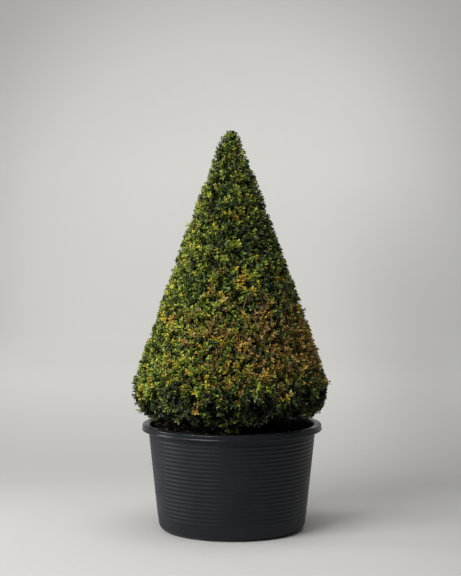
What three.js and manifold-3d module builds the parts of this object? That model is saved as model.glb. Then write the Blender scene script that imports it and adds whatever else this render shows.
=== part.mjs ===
// A clipped boxwood cone in its ribbed plastic tub.
// Millimetres, +Z up. The origin is the middle of the tub's flat underside, and the front faces -Y.
// The tub is filled with compost. A short stem stands on the compost under the foliage. Eight boughs
// leave it for the eight masses of foliage round the foot, and its tip carries the crown.

import * as THREE from 'three';
import { mergeVertices } from 'three/addons/utils/BufferGeometryUtils.js';
import Module from 'manifold-3d';

const { lerp, clamp, degToRad, euclideanModulo } = THREE.MathUtils;

// ---- driving dimensions ----

const clearance = 0.3; // between neighbours that touch

// tub
const tubHeight = 325;
const tubFootRadius = 223; // of the outer wall, produced down to the ground
const tubTaper = 0.104; // radius gained per millimetre of height
const tubWall = 4.5;
const tubFloor = 6;
const footRounding = 25;
const rimRadius = 274;
const rimDrop = 19; // height of the turned-down lip
const rimRounding = 8;
const mouthChamfer = 5;
const ribCount = 20;
const ribPitch = 12.35;
const topRibHeight = 285;
const ribRelief = 1.6;
const tubSides = 34;
const drainCount = 6;
const drainRadius = 11;
const drainCircle = 150;

// compost
const compostEdge = 311; // height of its surface at the wall
const compostMiddle = 316; // and round the stem
const moundRadius = 90; // of its level middle
const compostGap = 0.8; // between it and the faceted wall

// clipped outline of the foliage
const crownShift = -4; // the cone stands a little to the left of the tub's middle
const crownTop = 1222;
const tipRounding = 42;
const coneApex = 1271; // where the cone's sides would meet
const coneSlope = 0.361; // radius lost per millimetre of height
const coneSwell = 6; // how far the sides belly out half-way up
const widestHeight = 440;
const widestRadius = 297;
const foliageFoot = 329;
const footTuck = 36; // how far the foliage curls in from its widest place to its foot

// division of the foliage
const lobeCount = 8;
const firstLobeBearing = -78.5; // degrees, from +X towards +Y
const lobeGap = 5; // degrees left open between two neighbours
const lobeInner = 118; // how near the cone's axis the lower masses come
const seamHeight = 452; // between the lower masses and the crown
const seamWave = 12;
const seamGap = 8;

// growth
const coreInset = 34; // depth of the crown's dense core under the clipped outline
const coreLump = 5; // how uneven that core is
const lobeCoreInset = 24; // depth of a lower mass's core
const lobeCoreMargin = 5; // between its core and the foot and top of its space
const twigInset = 24; // depth of a twig's tip under the clipped outline
const lobeTwigInset = 18;
const twigRadius = 4.5;
const twigTipRadius = 2;
const pairSpacing = 14; // between two pairs of leaves
const leafLength = 58; // larger than life, as each stands for a spray
const leafWidth = 36;
const leafThickness = 4;
const lobeLeafSize = 0.74; // of a leaf on a lower mass, against one on the crown
const leafReach = 6; // how far a leaf may pass the clipped outline
const crownTwigs = 62;
const crownTwigRise = 0.5; // height a twig gains on its way out, as a share of the cone's radius
const lobeRows = [ // twigs of a lower mass: how many in a row, and how far up the row is
  { count: 2, share: 0.14 },
  { count: 3, share: 0.5 },
  { count: 2, share: 0.84 },
];
const goldenAngle = Math.PI * (3 - Math.sqrt(5));

// wood
const stemFoot = new THREE.Vector3(-12, 2, compostMiddle + clearance);
const stemTip = new THREE.Vector3(-2, -3, 398);
const stemRadius = 24;
const stemTipRadius = 13;
const rootFlare = 17; // radius added by the root flare at the compost
const rootCount = 5;
const boughHeights = [348, 374]; // of alternate boughs where they leave the stem
const boughRadius = 8.5;
const boughTipRadius = 5;
const boughStandOff = 1.6; // room for the stem's lean and flare where a bough leaves it
const boughReach = 112; // distance of a bough's tip from the cone's axis
const boughTipHeight = 392;
const boughBend = 34; // length over which a bough turns from level to rising, and back

// ---- geometry helpers ----

const wasm = await Module();
wasm.setup();

// Repeatable random numbers between 0 and 1.
function seeded(seed) {
  let state = seed;
  return () => {
    state = (state * 16807) % 2147483647;
    return state / 2147483647;
  };
}

function welded(geometry) {
  geometry.deleteAttribute('normal');
  geometry.deleteAttribute('uv');
  return mergeVertices(geometry, 1e-4);
}

// Moves each vertex of a geometry to the place that its own coordinates give.
function reshape(geometry, place) {
  const shaped = welded(geometry);
  const position = shaped.attributes.position;
  for (let i = 0; i < position.count; i += 1) {
    const point = place(position.getX(i), position.getY(i), position.getZ(i));
    position.setXYZ(i, point.x, point.y, point.z);
  }
  return shaped;
}

function toSolid(geometry) {
  const vertProperties = new Float32Array(geometry.attributes.position.array);
  const triVerts = new Uint32Array(geometry.index.array);
  return new wasm.Manifold(new wasm.Mesh({ numProp: 3, vertProperties, triVerts }));
}

function toGeometry(solid) {
  const mesh = solid.getMesh();
  const geometry = new THREE.BufferGeometry();
  geometry.setAttribute('position', new THREE.BufferAttribute(mesh.vertProperties, 3));
  geometry.setIndex(new THREE.BufferAttribute(mesh.triVerts, 1));
  return geometry;
}

// Joins pieces two by two until one solid is left, then keeps its largest shell, so that a hollow
// sealed between leaves is filled and a loose scrap is dropped.
function fuse(geometries) {
  let solids = geometries.map(toSolid);
  while (solids.length > 1) {
    const joined = [];
    for (let i = 0; i < solids.length; i += 2) {
      joined.push(i + 1 < solids.length ? solids[i].add(solids[i + 1]) : solids[i]);
    }
    solids = joined;
  }
  const shells = solids[0].decompose().sort((a, b) => b.volume() - a.volume());
  return toGeometry(shells[0]);
}

// A point from its distance from the cone's axis, its bearing and its height.
function around(radius, bearing, height) {
  return new THREE.Vector3(
    crownShift + radius * Math.cos(bearing), radius * Math.sin(bearing), height);
}

function radiusOf(point) {
  return Math.hypot(point.x - crownShift, point.y);
}

function bearingOf(point) {
  return Math.atan2(point.y, point.x - crownShift);
}

// A round limb along a curve. radiusAt(t) gives its radius from the foot, 0, to the tip, 1.
function limb(curve, radiusAt, sides, steps) {
  const frames = curve.computeFrenetFrames(steps);
  return reshape(new THREE.CylinderGeometry(1, 1, 1, sides, steps), (x, y, z) => {
    const t = y + 0.5;
    const step = Math.round(t * steps);
    const radius = radiusAt(t);
    return curve.getPointAt(t)
      .addScaledVector(frames.normals[step], x * radius)
      .addScaledVector(frames.binormals[step], -z * radius);
  });
}

// ---- outline of the foliage ----

function outlineRadius(height) {
  if (height < widestHeight) {
    const tuck = (widestHeight - height) / (widestHeight - foliageFoot);
    return widestRadius - footTuck * tuck * tuck;
  }
  const below = Math.max(0, crownTop - height);
  const rise = 1 - below / (crownTop - widestHeight);
  const cone = coneSlope * (coneApex - height) + coneSwell * Math.sin(Math.PI * rise);
  const tip = below < tipRounding ? Math.sqrt(below * (2 * tipRounding - below)) : Infinity;
  return Math.min(cone, tip, widestRadius);
}

function coreRadius(height, inset) {
  const radius = outlineRadius(height);
  return radius - Math.min(inset, radius / 2);
}

function lobeBearing(index) {
  return degToRad(firstLobeBearing + index * 360 / lobeCount);
}

// Height at which the lower masses end and the crown begins. It is highest over each lower mass.
function seam(bearing) {
  return seamHeight + seamWave * Math.cos(lobeCount * (bearing - lobeBearing(0)));
}

function insideOutline(point) {
  return point.z < crownTop && radiusOf(point) < outlineRadius(point.z) + leafReach;
}

function insideCrown(point) {
  return point.z > seam(bearingOf(point)) + seamGap / 2 && insideOutline(point);
}

// The space of a lower mass, as a test of points. All boughs and the stem lie outside it.
function lobeSpace(index) {
  const halfWidth = Math.PI / lobeCount - degToRad(lobeGap / 2);
  return (point) => {
    const bearing = bearingOf(point);
    const turn = euclideanModulo(bearing - lobeBearing(index) + Math.PI, 2 * Math.PI) - Math.PI;
    return Math.abs(turn) < halfWidth && radiusOf(point) > lobeInner && point.z > foliageFoot
      && point.z < seam(bearing) - seamGap / 2 && insideOutline(point);
  };
}

// ---- leaves and twigs ----

// A leaf grows from its root along a direction, with its face turned towards facing.
function leaf(root, direction, facing, size) {
  const along = direction.clone().normalize();
  const across = new THREE.Vector3().crossVectors(facing, along).normalize();
  const upward = new THREE.Vector3().crossVectors(along, across);
  return reshape(new THREE.OctahedronGeometry(1, 0), (x, y, z) => root.clone()
    .addScaledVector(along, size * leafLength * (0.5 + 0.5 * x))
    .addScaledVector(across, size * leafWidth * 0.5 * y)
    .addScaledVector(upward, size * leafThickness * 0.5 * z));
}

function fits(geometry, inside) {
  const position = geometry.attributes.position;
  const point = new THREE.Vector3();
  for (let i = 0; i < position.count; i += 1) {
    if (!inside(point.fromBufferAttribute(position, i))) return false;
  }
  return true;
}

// A three-sided twig from the mass's stem outwards, with two pairs of leaves at its end. They face
// the way the twig grows, and the second pair is turned a quarter from the first. A leaf that would
// leave the mass's space is skipped.
function twig(from, to, size, random, inside) {
  const along = to.clone().sub(from).normalize();
  const side = new THREE.Vector3(0, 0, 1).cross(along).normalize();
  const roll = random() * Math.PI;
  const leaves = [];
  for (let pair = 0; pair < 2; pair += 1) {
    const root = to.clone().addScaledVector(along, -twigTipRadius - pairSpacing * pair);
    for (let half = 0; half < 2; half += 1) {
      const direction = side.clone().applyAxisAngle(along, roll + (pair / 2 + half) * Math.PI)
        .addScaledVector(along, 0.35 + 0.35 * random());
      leaves.push(leaf(root, direction, along, size * (0.85 + 0.2 * random())));
    }
  }
  const line = new THREE.LineCurve3(from, to);
  const wood = limb(line, (t) => lerp(twigRadius, twigTipRadius, t), 3, 1);
  return [wood, ...leaves.filter((blade) => fits(blade, inside))];
}

// ---- masses of foliage ----

// Dense middle of the crown: its sides follow the outline and its underside the seam.
function crownCore() {
  const rings = 15;
  const lastSideRing = 13;
  return reshape(new THREE.SphereGeometry(1, 24, rings), (x, y, z) => {
    const bearing = Math.atan2(-z, x);
    const ring = Math.acos(clamp(y, -1, 1)) / Math.PI * rings;
    const foot = seam(bearing) + seamGap / 2 + 1;
    const height = lerp(crownTop - twigInset, foot, Math.min(1, ring / lastSideRing) ** 0.9);
    const lump = coreLump * Math.sin(5 * bearing + height / 37) * Math.sin(height / 29);
    const closing = Math.min(1, (rings - ring) / (rings - lastSideRing));
    const radius = ring < 0.5 ? 0 : (coreRadius(height, coreInset) + lump) * closing;
    return around(radius, bearing, height);
  });
}

function crown() {
  const random = seeded(11);
  const foot = stemTip.clone().add(new THREE.Vector3(0, 0, clearance));
  const top = around(0, 0, crownTop - twigInset);
  const leader = new THREE.LineCurve3(foot, top);
  const onLeader = (height) => leader.getPoint(clamp((height - foot.z) / (top.z - foot.z), 0, 1));
  const pieces = [crownCore(), limb(leader, (t) => lerp(stemTipRadius, twigTipRadius, t), 8, 1)];
  const lowest = seamHeight + seamGap + twigInset;
  for (let i = 0; i < crownTwigs; i += 1) {
    // equal steps of the cone's surface, from the tip down
    const share = (i + 0.5) / crownTwigs;
    const height = coneApex - Math.sqrt(lerp((coneApex - crownTop) ** 2, (coneApex - lowest) ** 2, share));
    const radius = outlineRadius(height);
    const tip = around(Math.max(radius - twigInset, 0.4 * radius), i * goldenAngle, height);
    const from = onLeader(Math.max(height - crownTwigRise * radius, lowest));
    pieces.push(...twig(from, tip, 1, random, insideCrown));
  }
  // upright leaves carry the crown to its full height
  const tipRoot = around(0, 0, crownTop - leafLength);
  for (const lean of [-1, 0, 1]) {
    const direction = new THREE.Vector3(0.35 * lean, 0, 1);
    pieces.push(leaf(tipRoot, direction, new THREE.Vector3(0, -1, 0), 1 - 0.2 * Math.abs(lean)));
  }
  return fuse(pieces);
}

// Dense middle of a lower mass: a cushion bent round the cone's axis, its outer side on the outline.
function lobeCore(index) {
  const halfWidth = Math.PI / lobeCount * 0.84;
  const squareness = 6;
  return reshape(new THREE.SphereGeometry(1, 10, 6), (x, y, z) => {
    const size = (Math.abs(x) ** squareness + Math.abs(y) ** squareness + Math.abs(z) ** squareness)
      ** (1 / squareness);
    const bearing = lobeBearing(index) - halfWidth * z / size;
    const low = foliageFoot + lobeCoreMargin;
    const high = seam(bearing) - seamGap / 2 - lobeCoreMargin;
    const height = lerp(low, high, 0.5 + 0.5 * y / size);
    const outer = coreRadius(height, lobeCoreInset);
    return around(lerp(lobeInner + 3 * lobeCoreMargin, outer, 0.5 + 0.5 * x / size), bearing, height);
  });
}

function lobe(index) {
  const random = seeded(101 + index);
  const bearing = lobeBearing(index);
  const inside = lobeSpace(index);
  const foot = around(boughReach + clearance, bearing, boughTipHeight);
  const tip = around(widestRadius - 2 * coreInset, bearing, boughTipHeight);
  const stalk = new THREE.LineCurve3(foot, tip);
  const pieces = [
    lobeCore(index),
    limb(stalk, (t) => lerp(boughTipRadius, twigTipRadius, t), 6, 1),
  ];
  for (const { count, share } of lobeRows) {
    for (let i = 0; i < count; i += 1) {
      const spread = ((i + 0.5) / count - 0.5) * 0.8 + 0.06 * (random() - 0.5);
      const at = bearing + spread * 2 * Math.PI / lobeCount;
      const height = lerp(foliageFoot + lobeCoreMargin, seam(at) - seamGap, share);
      const to = around(outlineRadius(height) - lobeTwigInset, at, height);
      const from = stalk.getPoint(0.35 + 0.3 * random());
      pieces.push(...twig(from, to, lobeLeafSize, random, inside));
    }
  }
  return fuse(pieces);
}

// ---- wood ----

const stemLine = new THREE.LineCurve3(stemFoot, stemTip);

function stemRadiusAt(t, angle = 0) {
  const flare = Math.exp(-t / 0.16) * (1 + 0.35 * Math.cos(rootCount * angle));
  return lerp(stemRadius, stemTipRadius, t) + rootFlare * flare;
}

// The axis leans, and both ends are cut level.
function stem() {
  return reshape(new THREE.CylinderGeometry(1, 1, 1, 3 * rootCount, 6), (x, y, z) => {
    const t = y + 0.5;
    const radius = stemRadiusAt(t, Math.atan2(-z, x));
    const centre = stemLine.getPoint(t);
    return new THREE.Vector3(centre.x + x * radius, centre.y - z * radius, centre.z);
  });
}

// Leaves the stem level, rises, and is level again where it meets the lower mass that it carries.
function bough(index) {
  const bearing = lobeBearing(index);
  const height = boughHeights[index % boughHeights.length];
  const t = (height - stemFoot.z) / (stemTip.z - stemFoot.z);
  const lowerEdge = t - boughRadius / (stemTip.z - stemFoot.z);
  const outward = new THREE.Vector3(Math.cos(bearing), Math.sin(bearing), 0);
  const start = stemLine.getPoint(t).addScaledVector(outward, stemRadiusAt(lowerEdge) + boughStandOff);
  const end = around(boughReach, bearing, boughTipHeight);
  const curve = new THREE.CubicBezierCurve3(
    start,
    start.clone().addScaledVector(outward, boughBend),
    end.clone().addScaledVector(outward, -boughBend),
    end);
  return limb(curve, (s) => lerp(boughRadius, boughTipRadius, s), 7, 5);
}

// ---- tub and compost ----

function wallRadius(height) {
  return tubFootRadius + tubTaper * height;
}

function wallInside(height) {
  return wallRadius(height) - ribRelief - tubWall;
}

// Points of an arc in the tub's section, as radius and height.
function arc(centreRadius, centreHeight, radius, fromDegrees, toDegrees, steps) {
  return Array.from({ length: steps + 1 }, (_, i) => {
    const angle = degToRad(lerp(fromDegrees, toDegrees, i / steps));
    return [centreRadius + radius * Math.cos(angle), centreHeight + radius * Math.sin(angle)];
  });
}

const footCorner = wallRadius(footRounding) - footRounding;

// Up the ribbed outside, round the turned-down lip and down the plain inside.
function tubSection() {
  const ribs = [];
  for (let i = ribCount - 1; i >= 0; i -= 1) {
    const height = topRibHeight - i * ribPitch;
    ribs.push([wallRadius(height) - ribRelief, height - ribPitch / 2], [wallRadius(height), height]);
  }
  const lipFoot = tubHeight - rimDrop;
  const lipUnder = tubHeight - tubWall;
  const neckFoot = topRibHeight + ribPitch / 2;
  const mouth = tubHeight - mouthChamfer;
  return [
    [0, 0],
    ...arc(footCorner, footRounding, footRounding, -90, 0, 3),
    ...ribs,
    [wallRadius(neckFoot) - ribRelief, neckFoot],
    [wallRadius(lipUnder) - ribRelief, lipUnder],
    [rimRadius - tubWall, lipUnder - tubWall / 2],
    [rimRadius - tubWall, lipFoot],
    [rimRadius, lipFoot],
    ...arc(rimRadius - rimRounding, tubHeight - rimRounding, rimRounding, 0, 90, 2),
    [wallInside(mouth) + mouthChamfer, tubHeight],
    [wallInside(mouth), mouth],
    [wallInside(footRounding), footRounding],
    [footCorner, tubFloor],
    [0, tubFloor],
  ];
}

function lathe(section) {
  const points = section.map(([radius, height]) => new THREE.Vector2(radius, height));
  return welded(new THREE.LatheGeometry(points, tubSides).rotateX(Math.PI / 2));
}

function drainHole(index) {
  const angle = (index + 0.5) / drainCount * 2 * Math.PI;
  const hole = new THREE.CylinderGeometry(drainRadius, drainRadius, 4 * tubFloor, 12);
  hole.rotateX(Math.PI / 2);
  hole.translate(drainCircle * Math.cos(angle), drainCircle * Math.sin(angle), 0);
  return toSolid(welded(hole));
}

function tub() {
  let body = toSolid(lathe(tubSection()));
  for (let i = 0; i < drainCount; i += 1) body = body.subtract(drainHole(i));
  return toGeometry(body);
}

function compost() {
  return lathe([
    [0, tubFloor + clearance],
    [footCorner - compostGap, tubFloor + clearance],
    [wallInside(footRounding) - compostGap, footRounding + compostGap],
    [wallInside(compostEdge) - compostGap, compostEdge],
    [moundRadius, compostMiddle],
    [0, compostMiddle],
  ]);
}

// ---- assembly ----

const finishes = {
  plastic: { color: 0x26272a, roughness: 0.5, metalness: 0 },
  soil: { color: 0x2c211a, roughness: 1, metalness: 0 },
  bark: { color: 0x6b5a45, roughness: 0.9, metalness: 0 },
  foliage: { color: 0x3f5222, roughness: 0.45, metalness: 0 },
};

const group = new THREE.Group();

function add(name, geometry, finish) {
  geometry.computeVertexNormals();
  const mesh = new THREE.Mesh(geometry, new THREE.MeshStandardMaterial(finishes[finish]));
  mesh.name = name;
  group.add(mesh);
}

add('tub', tub(), 'plastic');
add('compost', compost(), 'soil');
add('stem', stem(), 'bark');
add('crown', crown(), 'foliage');
for (let i = 0; i < lobeCount; i += 1) {
  add(`bough_${i + 1}`, bough(i), 'bark');
  add(`lower_mass_${i + 1}`, lobe(i), 'foliage');
}

export default group;
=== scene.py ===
"""A clipped boxwood cone in its ribbed plastic tub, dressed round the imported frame.

Metres, +Z up, the front faces -Y. The wood and the foliage grow by the frame's own rule, carried on
to finer twigs: leader, limbs, side twigs, shoots, and pairs of leaves on the shoots.
"""
import math

import bpy
import numpy as np
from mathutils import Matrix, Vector, noise


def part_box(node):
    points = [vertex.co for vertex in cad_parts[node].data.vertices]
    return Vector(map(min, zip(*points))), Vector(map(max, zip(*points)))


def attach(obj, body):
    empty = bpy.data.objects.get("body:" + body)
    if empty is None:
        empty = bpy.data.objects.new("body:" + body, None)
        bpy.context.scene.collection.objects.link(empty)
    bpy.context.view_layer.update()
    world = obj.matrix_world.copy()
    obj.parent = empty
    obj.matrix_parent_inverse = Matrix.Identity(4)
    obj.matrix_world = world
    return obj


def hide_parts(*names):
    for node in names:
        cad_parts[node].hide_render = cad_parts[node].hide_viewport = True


bl_info = {
    "name": "Boxwood Cone in a Tub",
    "version": (1, 0, 0),
    "blender": (4, 5, 0),
    "location": "3D View > Sidebar > Topiary",
    "description": "Builds a clipped boxwood cone, its twigs and leaves, and its ribbed tub",
    "category": "Object",
}

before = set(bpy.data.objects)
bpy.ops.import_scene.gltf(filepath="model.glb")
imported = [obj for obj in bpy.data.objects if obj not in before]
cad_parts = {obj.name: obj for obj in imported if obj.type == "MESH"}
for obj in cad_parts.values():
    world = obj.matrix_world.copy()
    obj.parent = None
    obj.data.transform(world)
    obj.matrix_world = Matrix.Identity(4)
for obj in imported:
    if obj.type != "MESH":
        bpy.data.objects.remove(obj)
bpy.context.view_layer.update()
TUB_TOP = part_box("tub")[1].z
CROWN_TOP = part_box("crown")[1].z
COMPOST_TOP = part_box("compost")[1].z
STEM_FOOT, STEM_TOP = (corner.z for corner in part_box("stem"))

# where the frame has its compost's edge, its boughs and the stalks that carry the lower masses
COMPOST_EDGE = 0.311
LOBES = 8
FIRST_LOBE = -78.5
STEM_AXIS = ((-0.012, 0.002), (-0.002, -0.003))
BOUGH_STARTS = (0.348, 0.374)
BOUGH_END, STALK_START, STALK_END = 0.1125, 0.1123, 0.229
STALK_HEIGHT = 0.392
CROWN_LIMBS, LOWEST_CROWN_LIMB = 62, 0.484
LOWEST_MASS_LIMB = 0.334
SEAM_HEIGHT, SEAM_WAVE = 0.452, 0.012

GOLDEN_ANGLE = math.pi * (3 - math.sqrt(5))
FULL_TURN = 2 * math.pi
UP = np.array([0.0, 0.0, 1.0])
PIECE_LIMIT = 200000
FOLIAGE_NODES = ["crown"] + [f"lower_mass_{i + 1}" for i in range(LOBES)]
BOUGH_NODES = [f"bough_{i + 1}" for i in range(LOBES)]


def tone(code):
    """The linear colour of a six-figure paint code."""
    channels = [int(code[i:i + 2], 16) / 255 for i in (0, 2, 4)]
    return tuple(c / 12.92 if c <= 0.04045 else ((c + 0.055) / 1.055) ** 2.4 for c in channels)


# ---------------------------------------------------------------- sizes and colours

def metres(name, description, default):
    return number(name, description, default, unit="LENGTH", precision=4)


def number(name, description, default, **more):
    return bpy.props.FloatProperty(name=name, description=description, default=default, **more)


def whole(name, description, default, **more):
    return bpy.props.IntProperty(name=name, description=description, default=default, **more)


def colour(name, description, code):
    return bpy.props.FloatVectorProperty(
        name=name, description=description, default=tone(code), subtype="COLOR", min=0, max=1)


class ConeSizes(bpy.types.PropertyGroup):
    """The clipped outline of the foliage."""
    top: metres("Top", "Height of the highest leaf above the ground", round(CROWN_TOP, 4))
    tip_rounding: metres("Tip rounding", "Radius of the rounded tip", 0.042)
    apex: metres("Apex", "Height at which the straight sides would meet", 1.271)
    slope: number("Slope", "Radius lost per metre of height", 0.361)
    swell: metres("Swell", "How far the sides belly out half-way up", 0.0045)
    widest_height: metres("Widest height", "Height at which the cone is widest", 0.44)
    widest_radius: metres("Widest radius", "Radius at the widest place", 0.297)
    foot: metres("Foot", "Height of the lowest leaves", 0.329)
    tuck: metres("Tuck", "How far the foliage curls in from its widest place to its foot", 0.092)
    shift: metres("Shift", "Distance of the cone's axis from the tub's", -0.004)


class GrowthSizes(bpy.types.PropertyGroup):
    """How densely the cone has branched."""
    tufts: whole("Tufts", "Side twigs that end in a tuft of shoots", 860, min=50)
    shoots: whole("Shoots", "Leafy shoots over the whole clipped surface", 6900, min=500)
    pairs: whole("Pairs", "Pairs of leaves on a shoot", 5, min=2, max=8)
    leaf_top: metres("Leaf at the top", "Length of a leaf near the tip of the cone", 0.0122)
    leaf_side: metres("Leaf at the side", "Length of a leaf half-way down the cone", 0.0136)
    leaf_foot: metres("Leaf at the foot", "Length of a leaf near the tub", 0.0180)
    leaf_width: number("Leaf width", "Width of a leaf as a share of its length", 0.50,
                       subtype="FACTOR", min=0.2, max=1)
    yellowed: whole("Yellowed sprays", "Whole sprays that have turned yellow or gold", 40, min=0)
    seed: whole("Seed", "Changes where twigs and tints fall", 7)


class LeafColours(bpy.types.PropertyGroup):
    """Tints of the leaves. Shade and inner are near black: painted shade."""
    # near-black leaves dealt to the hollows between the tufts: painted shade
    shade: colour("Shade green", "Old leaves in the hollows between the tufts", "141c0b")
    deep: colour("Deep green", "Dark leaves of the sides", "38471a")
    blue: colour("Blue green", "Cool dark leaves", "365034")
    mid: colour("Mid green", "Ordinary leaves", "5c6f26")
    fresh: colour("Fresh green", "Young leaves", "80942c")
    lime: colour("Lime", "Yellowing leaves", "a9b23b")
    yellow: colour("Yellow", "Yellow leaves", "c9b12b")
    gold: colour("Gold", "Orange-yellow leaves", "c6a234")
    olive: colour("Olive", "Browning leaves", "776829")
    bronze: colour("Bronze", "Bronzed leaves", "99742d")
    tan: colour("Tan", "Dry leaves", "b59a55")
    # near-black leaves inside the cone: painted shade
    inner: colour("Inner", "The oldest leaves, deep inside the cone", "10160a")


class WoodSizes(bpy.types.PropertyGroup):
    """Stem, boughs and twigs."""
    stem_radius: metres("Stem radius", "Radius of the stem above its root flare", 0.024)
    stem_tip_radius: metres("Stem tip radius", "Radius where the stem enters the crown", 0.013)
    root_flare: metres("Root flare", "Radius added at the compost", 0.017)
    bough_radius: metres("Bough radius", "Radius of a bough at the stem", 0.0085)
    bough_tip_radius: metres("Bough tip radius", "Radius of a bough at its tip", 0.005)
    furrow: metres("Bark relief", "Depth of the bark's furrows", 0.0011)
    bark: colour("Bark", "Colour of the ridges of the bark", "8a7a62")
    crevice: colour("Crevice", "Colour of the furrows of the bark", "3d3227")
    shoot: colour("Young wood", "Colour of the leafy shoots", "8d8a55")
    bare: colour("Bare twigs", "Colour of twigs that have lost their leaves", "9a8b6c")


class TubSizes(bpy.types.PropertyGroup):
    """The tub and what it is filled with."""
    height: metres("Height", "Height of the rim above the ground", round(TUB_TOP, 4))
    rim_radius: metres("Rim radius", "Outer radius of the rim", 0.2755)
    foot_radius: metres("Foot radius", "Radius of the wall, produced down to the ground", 0.2244)
    taper: number("Taper", "Radius gained per metre of height", 0.104)
    wall: metres("Wall", "Thickness of the wall", 0.0045)
    floor: metres("Floor", "Thickness of the floor", 0.006)
    foot_rounding: metres("Foot rounding", "Radius of the rounded foot", 0.025)
    rim_drop: metres("Rim drop", "Height of the turned-down rim", 0.019)
    rim_rounding: metres("Rim rounding", "Radius of the rim's outer edge", 0.0045)
    bead: metres("Bead", "Radius of the bead along the lower edge of the rim", 0.0028)
    ribs: whole("Ribs", "Number of raised rings", 20)
    rib_pitch: metres("Rib pitch", "Distance between two rings", 0.01235)
    rib_top: metres("Top rib", "Height of the highest ring", 0.285)
    rib_relief: metres("Rib relief", "How far a ring stands out", 0.0014)
    drains: whole("Drain holes", "Holes in the floor", 6)
    drain_radius: metres("Drain radius", "Radius of a drain hole", 0.011)
    drain_circle: metres("Drain circle", "Radius of the ring of drain holes", 0.15)
    plastic: colour("Plastic", "Colour of the tub", "17191f")
    # the dusting colour, also used for a faint painted highlight on the rib crests
    dust_and_sheen: colour("Dust", "Colour of the dust on the tub", "36383e")
    # near black: the moist compost's own dark colour, made darker still as painted shade under the
    # foliage
    soil: colour("Compost", "Colour of moist compost", "0d0a07")
    litter: colour("Litter", "Colour of fallen leaves", "4e3d22")


class StudioSizes(bpy.types.PropertyGroup):
    """Floor, backdrop, lights and camera."""
    paper: colour("Backdrop", "Colour of the floor and backdrop", "dad9d6")
    # the far paper glows by its own emission, not by any lamp: painted light
    painted_glow: colour("Glow", "Colour of the light through the far paper", "c9c8c4")
    painted_glow_strength: number("Glow strength", "Strength of the light through the far paper", 0.70)
    # the paper is painted darker away from this height: a painted pool of light
    pool_height: metres("Pool height", "Height of the middle of the brightest paper", 0.43)
    key_power: number("Key light", "Power of the large light on the left", 122, unit="POWER")
    side_power: number("Side light", "Power of the soft light beside the cone", 3.0, unit="POWER")
    fill_power: number("Fill light", "Power of the overhead light", 46, unit="POWER")
    surround: number("Surround", "Strength of the room's own light", 0.15)
    camera_distance: metres("Camera distance", "Distance of the camera from the cone", 5.0)
    camera_height: metres("Camera height", "Height of the camera", 1.034)
    aim_height: metres("Aim height", "Height that the camera looks at", 0.739)
    lens: number("Lens", "Focal length of the camera", 102.5, unit="CAMERA")


# ---------------------------------------------------------------- node graphs

def operator(operation, swapped=False):
    def apply(value, other=0.0):
        first, second = (other, value) if swapped else (value, other)
        return value.graph.node("ShaderNodeMath", {"operation": operation}, {0: first, 1: second})
    return apply


class Value:
    """A socket of a node graph. Arithmetic on it adds Math nodes."""

    def __init__(self, graph, socket):
        self.graph = graph
        self.socket = socket

    __add__, __radd__ = operator("ADD"), operator("ADD", True)
    __sub__, __rsub__ = operator("SUBTRACT"), operator("SUBTRACT", True)
    __mul__, __rmul__ = operator("MULTIPLY"), operator("MULTIPLY", True)
    __truediv__, __pow__ = operator("DIVIDE"), operator("POWER")
    cosine, below, above = operator("COSINE"), operator("LESS_THAN"), operator("GREATER_THAN")


class Graph:
    """A material's or a geometry node tree. Every node comes from node()."""

    def __init__(self, tree):
        self.tree = tree

    def node(self, kind, settings=None, sockets=None, out=0):
        made = self.tree.nodes.new(kind)
        for key, value in (settings or {}).items():
            if key == "stops":
                ramp = made.color_ramp.elements
                while len(ramp) < len(value):
                    ramp.new(0.5)
                for element, (place, shade) in zip(ramp, value):
                    element.position = place
                    element.color = (*shade, 1)
            else:
                setattr(made, key, value)
        for key, value in (sockets or {}).items():
            if isinstance(value, Value):
                self.tree.links.new(value.socket, made.inputs[key])
            else:
                made.inputs[key].default_value = value
        if isinstance(out, tuple):
            return [Value(self, made.outputs[key]) for key in out]
        return Value(self, made.outputs[out])

    def place(self, scale=(1, 1, 1)):
        """The point of the surface, in the object's own metres, stretched."""
        at = self.node("ShaderNodeTexCoord", out="Object")
        return self.node("ShaderNodeMapping", None, {"Vector": at, "Scale": scale})

    def parts(self, vector):
        """The x, y and z of a vector."""
        return self.node("ShaderNodeSeparateXYZ", None, {0: vector}, (0, 1, 2))

    def named(self, key, kind):
        """The values that the points carry under a name."""
        return self.node("GeometryNodeInputNamedAttribute", {"data_type": kind}, {"Name": key})

    def noise(self, vector, scale, detail=3.0, roughness=0.5):
        return self.node("ShaderNodeTexNoise", None, {
            "Vector": vector, "Scale": scale, "Detail": detail, "Roughness": roughness})

    def between(self, value, low, high, to_low=0.0, to_high=1.0):
        """The value's place between low and high, clamped, brought to another range."""
        return self.node("ShaderNodeMapRange", {"interpolation_type": "SMOOTHSTEP"},
                         {0: value, 1: low, 2: high, 3: to_low, 4: to_high})

    def blend(self, factor, first, second):
        """A colour between two colours."""
        first, second = (c if isinstance(c, Value) else (*c, 1) for c in (first, second))
        return self.node("ShaderNodeMix", {"data_type": "RGBA"}, {0: factor, 6: first, 7: second}, 2)

    def bump(self, height, distance, strength=1.0, normal=None):
        sockets = {"Height": height, "Distance": distance, "Strength": strength}
        if normal:
            sockets["Normal"] = normal
        return self.node("ShaderNodeBump", None, sockets)


def finish(name, paint=None, sizes=None, **constants):
    """A material. paint(graph, sizes) gives the links of its surface, constants its plain values."""
    material = bpy.data.materials.new(name)
    material.use_nodes = True
    tree = material.node_tree
    surface = tree.nodes["Principled BSDF"]
    for key, value in constants.items():
        surface.inputs[key.replace("_", " ").title().replace("Ior", "IOR")].default_value = value
    for key, value in (paint(Graph(tree), sizes) if paint else {}).items():
        tree.links.new(value.socket, surface.inputs[key])
    return material


def dimmed(tint, share):
    """A colour with each channel multiplied."""
    return tuple(share * channel for channel in tint)


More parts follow.
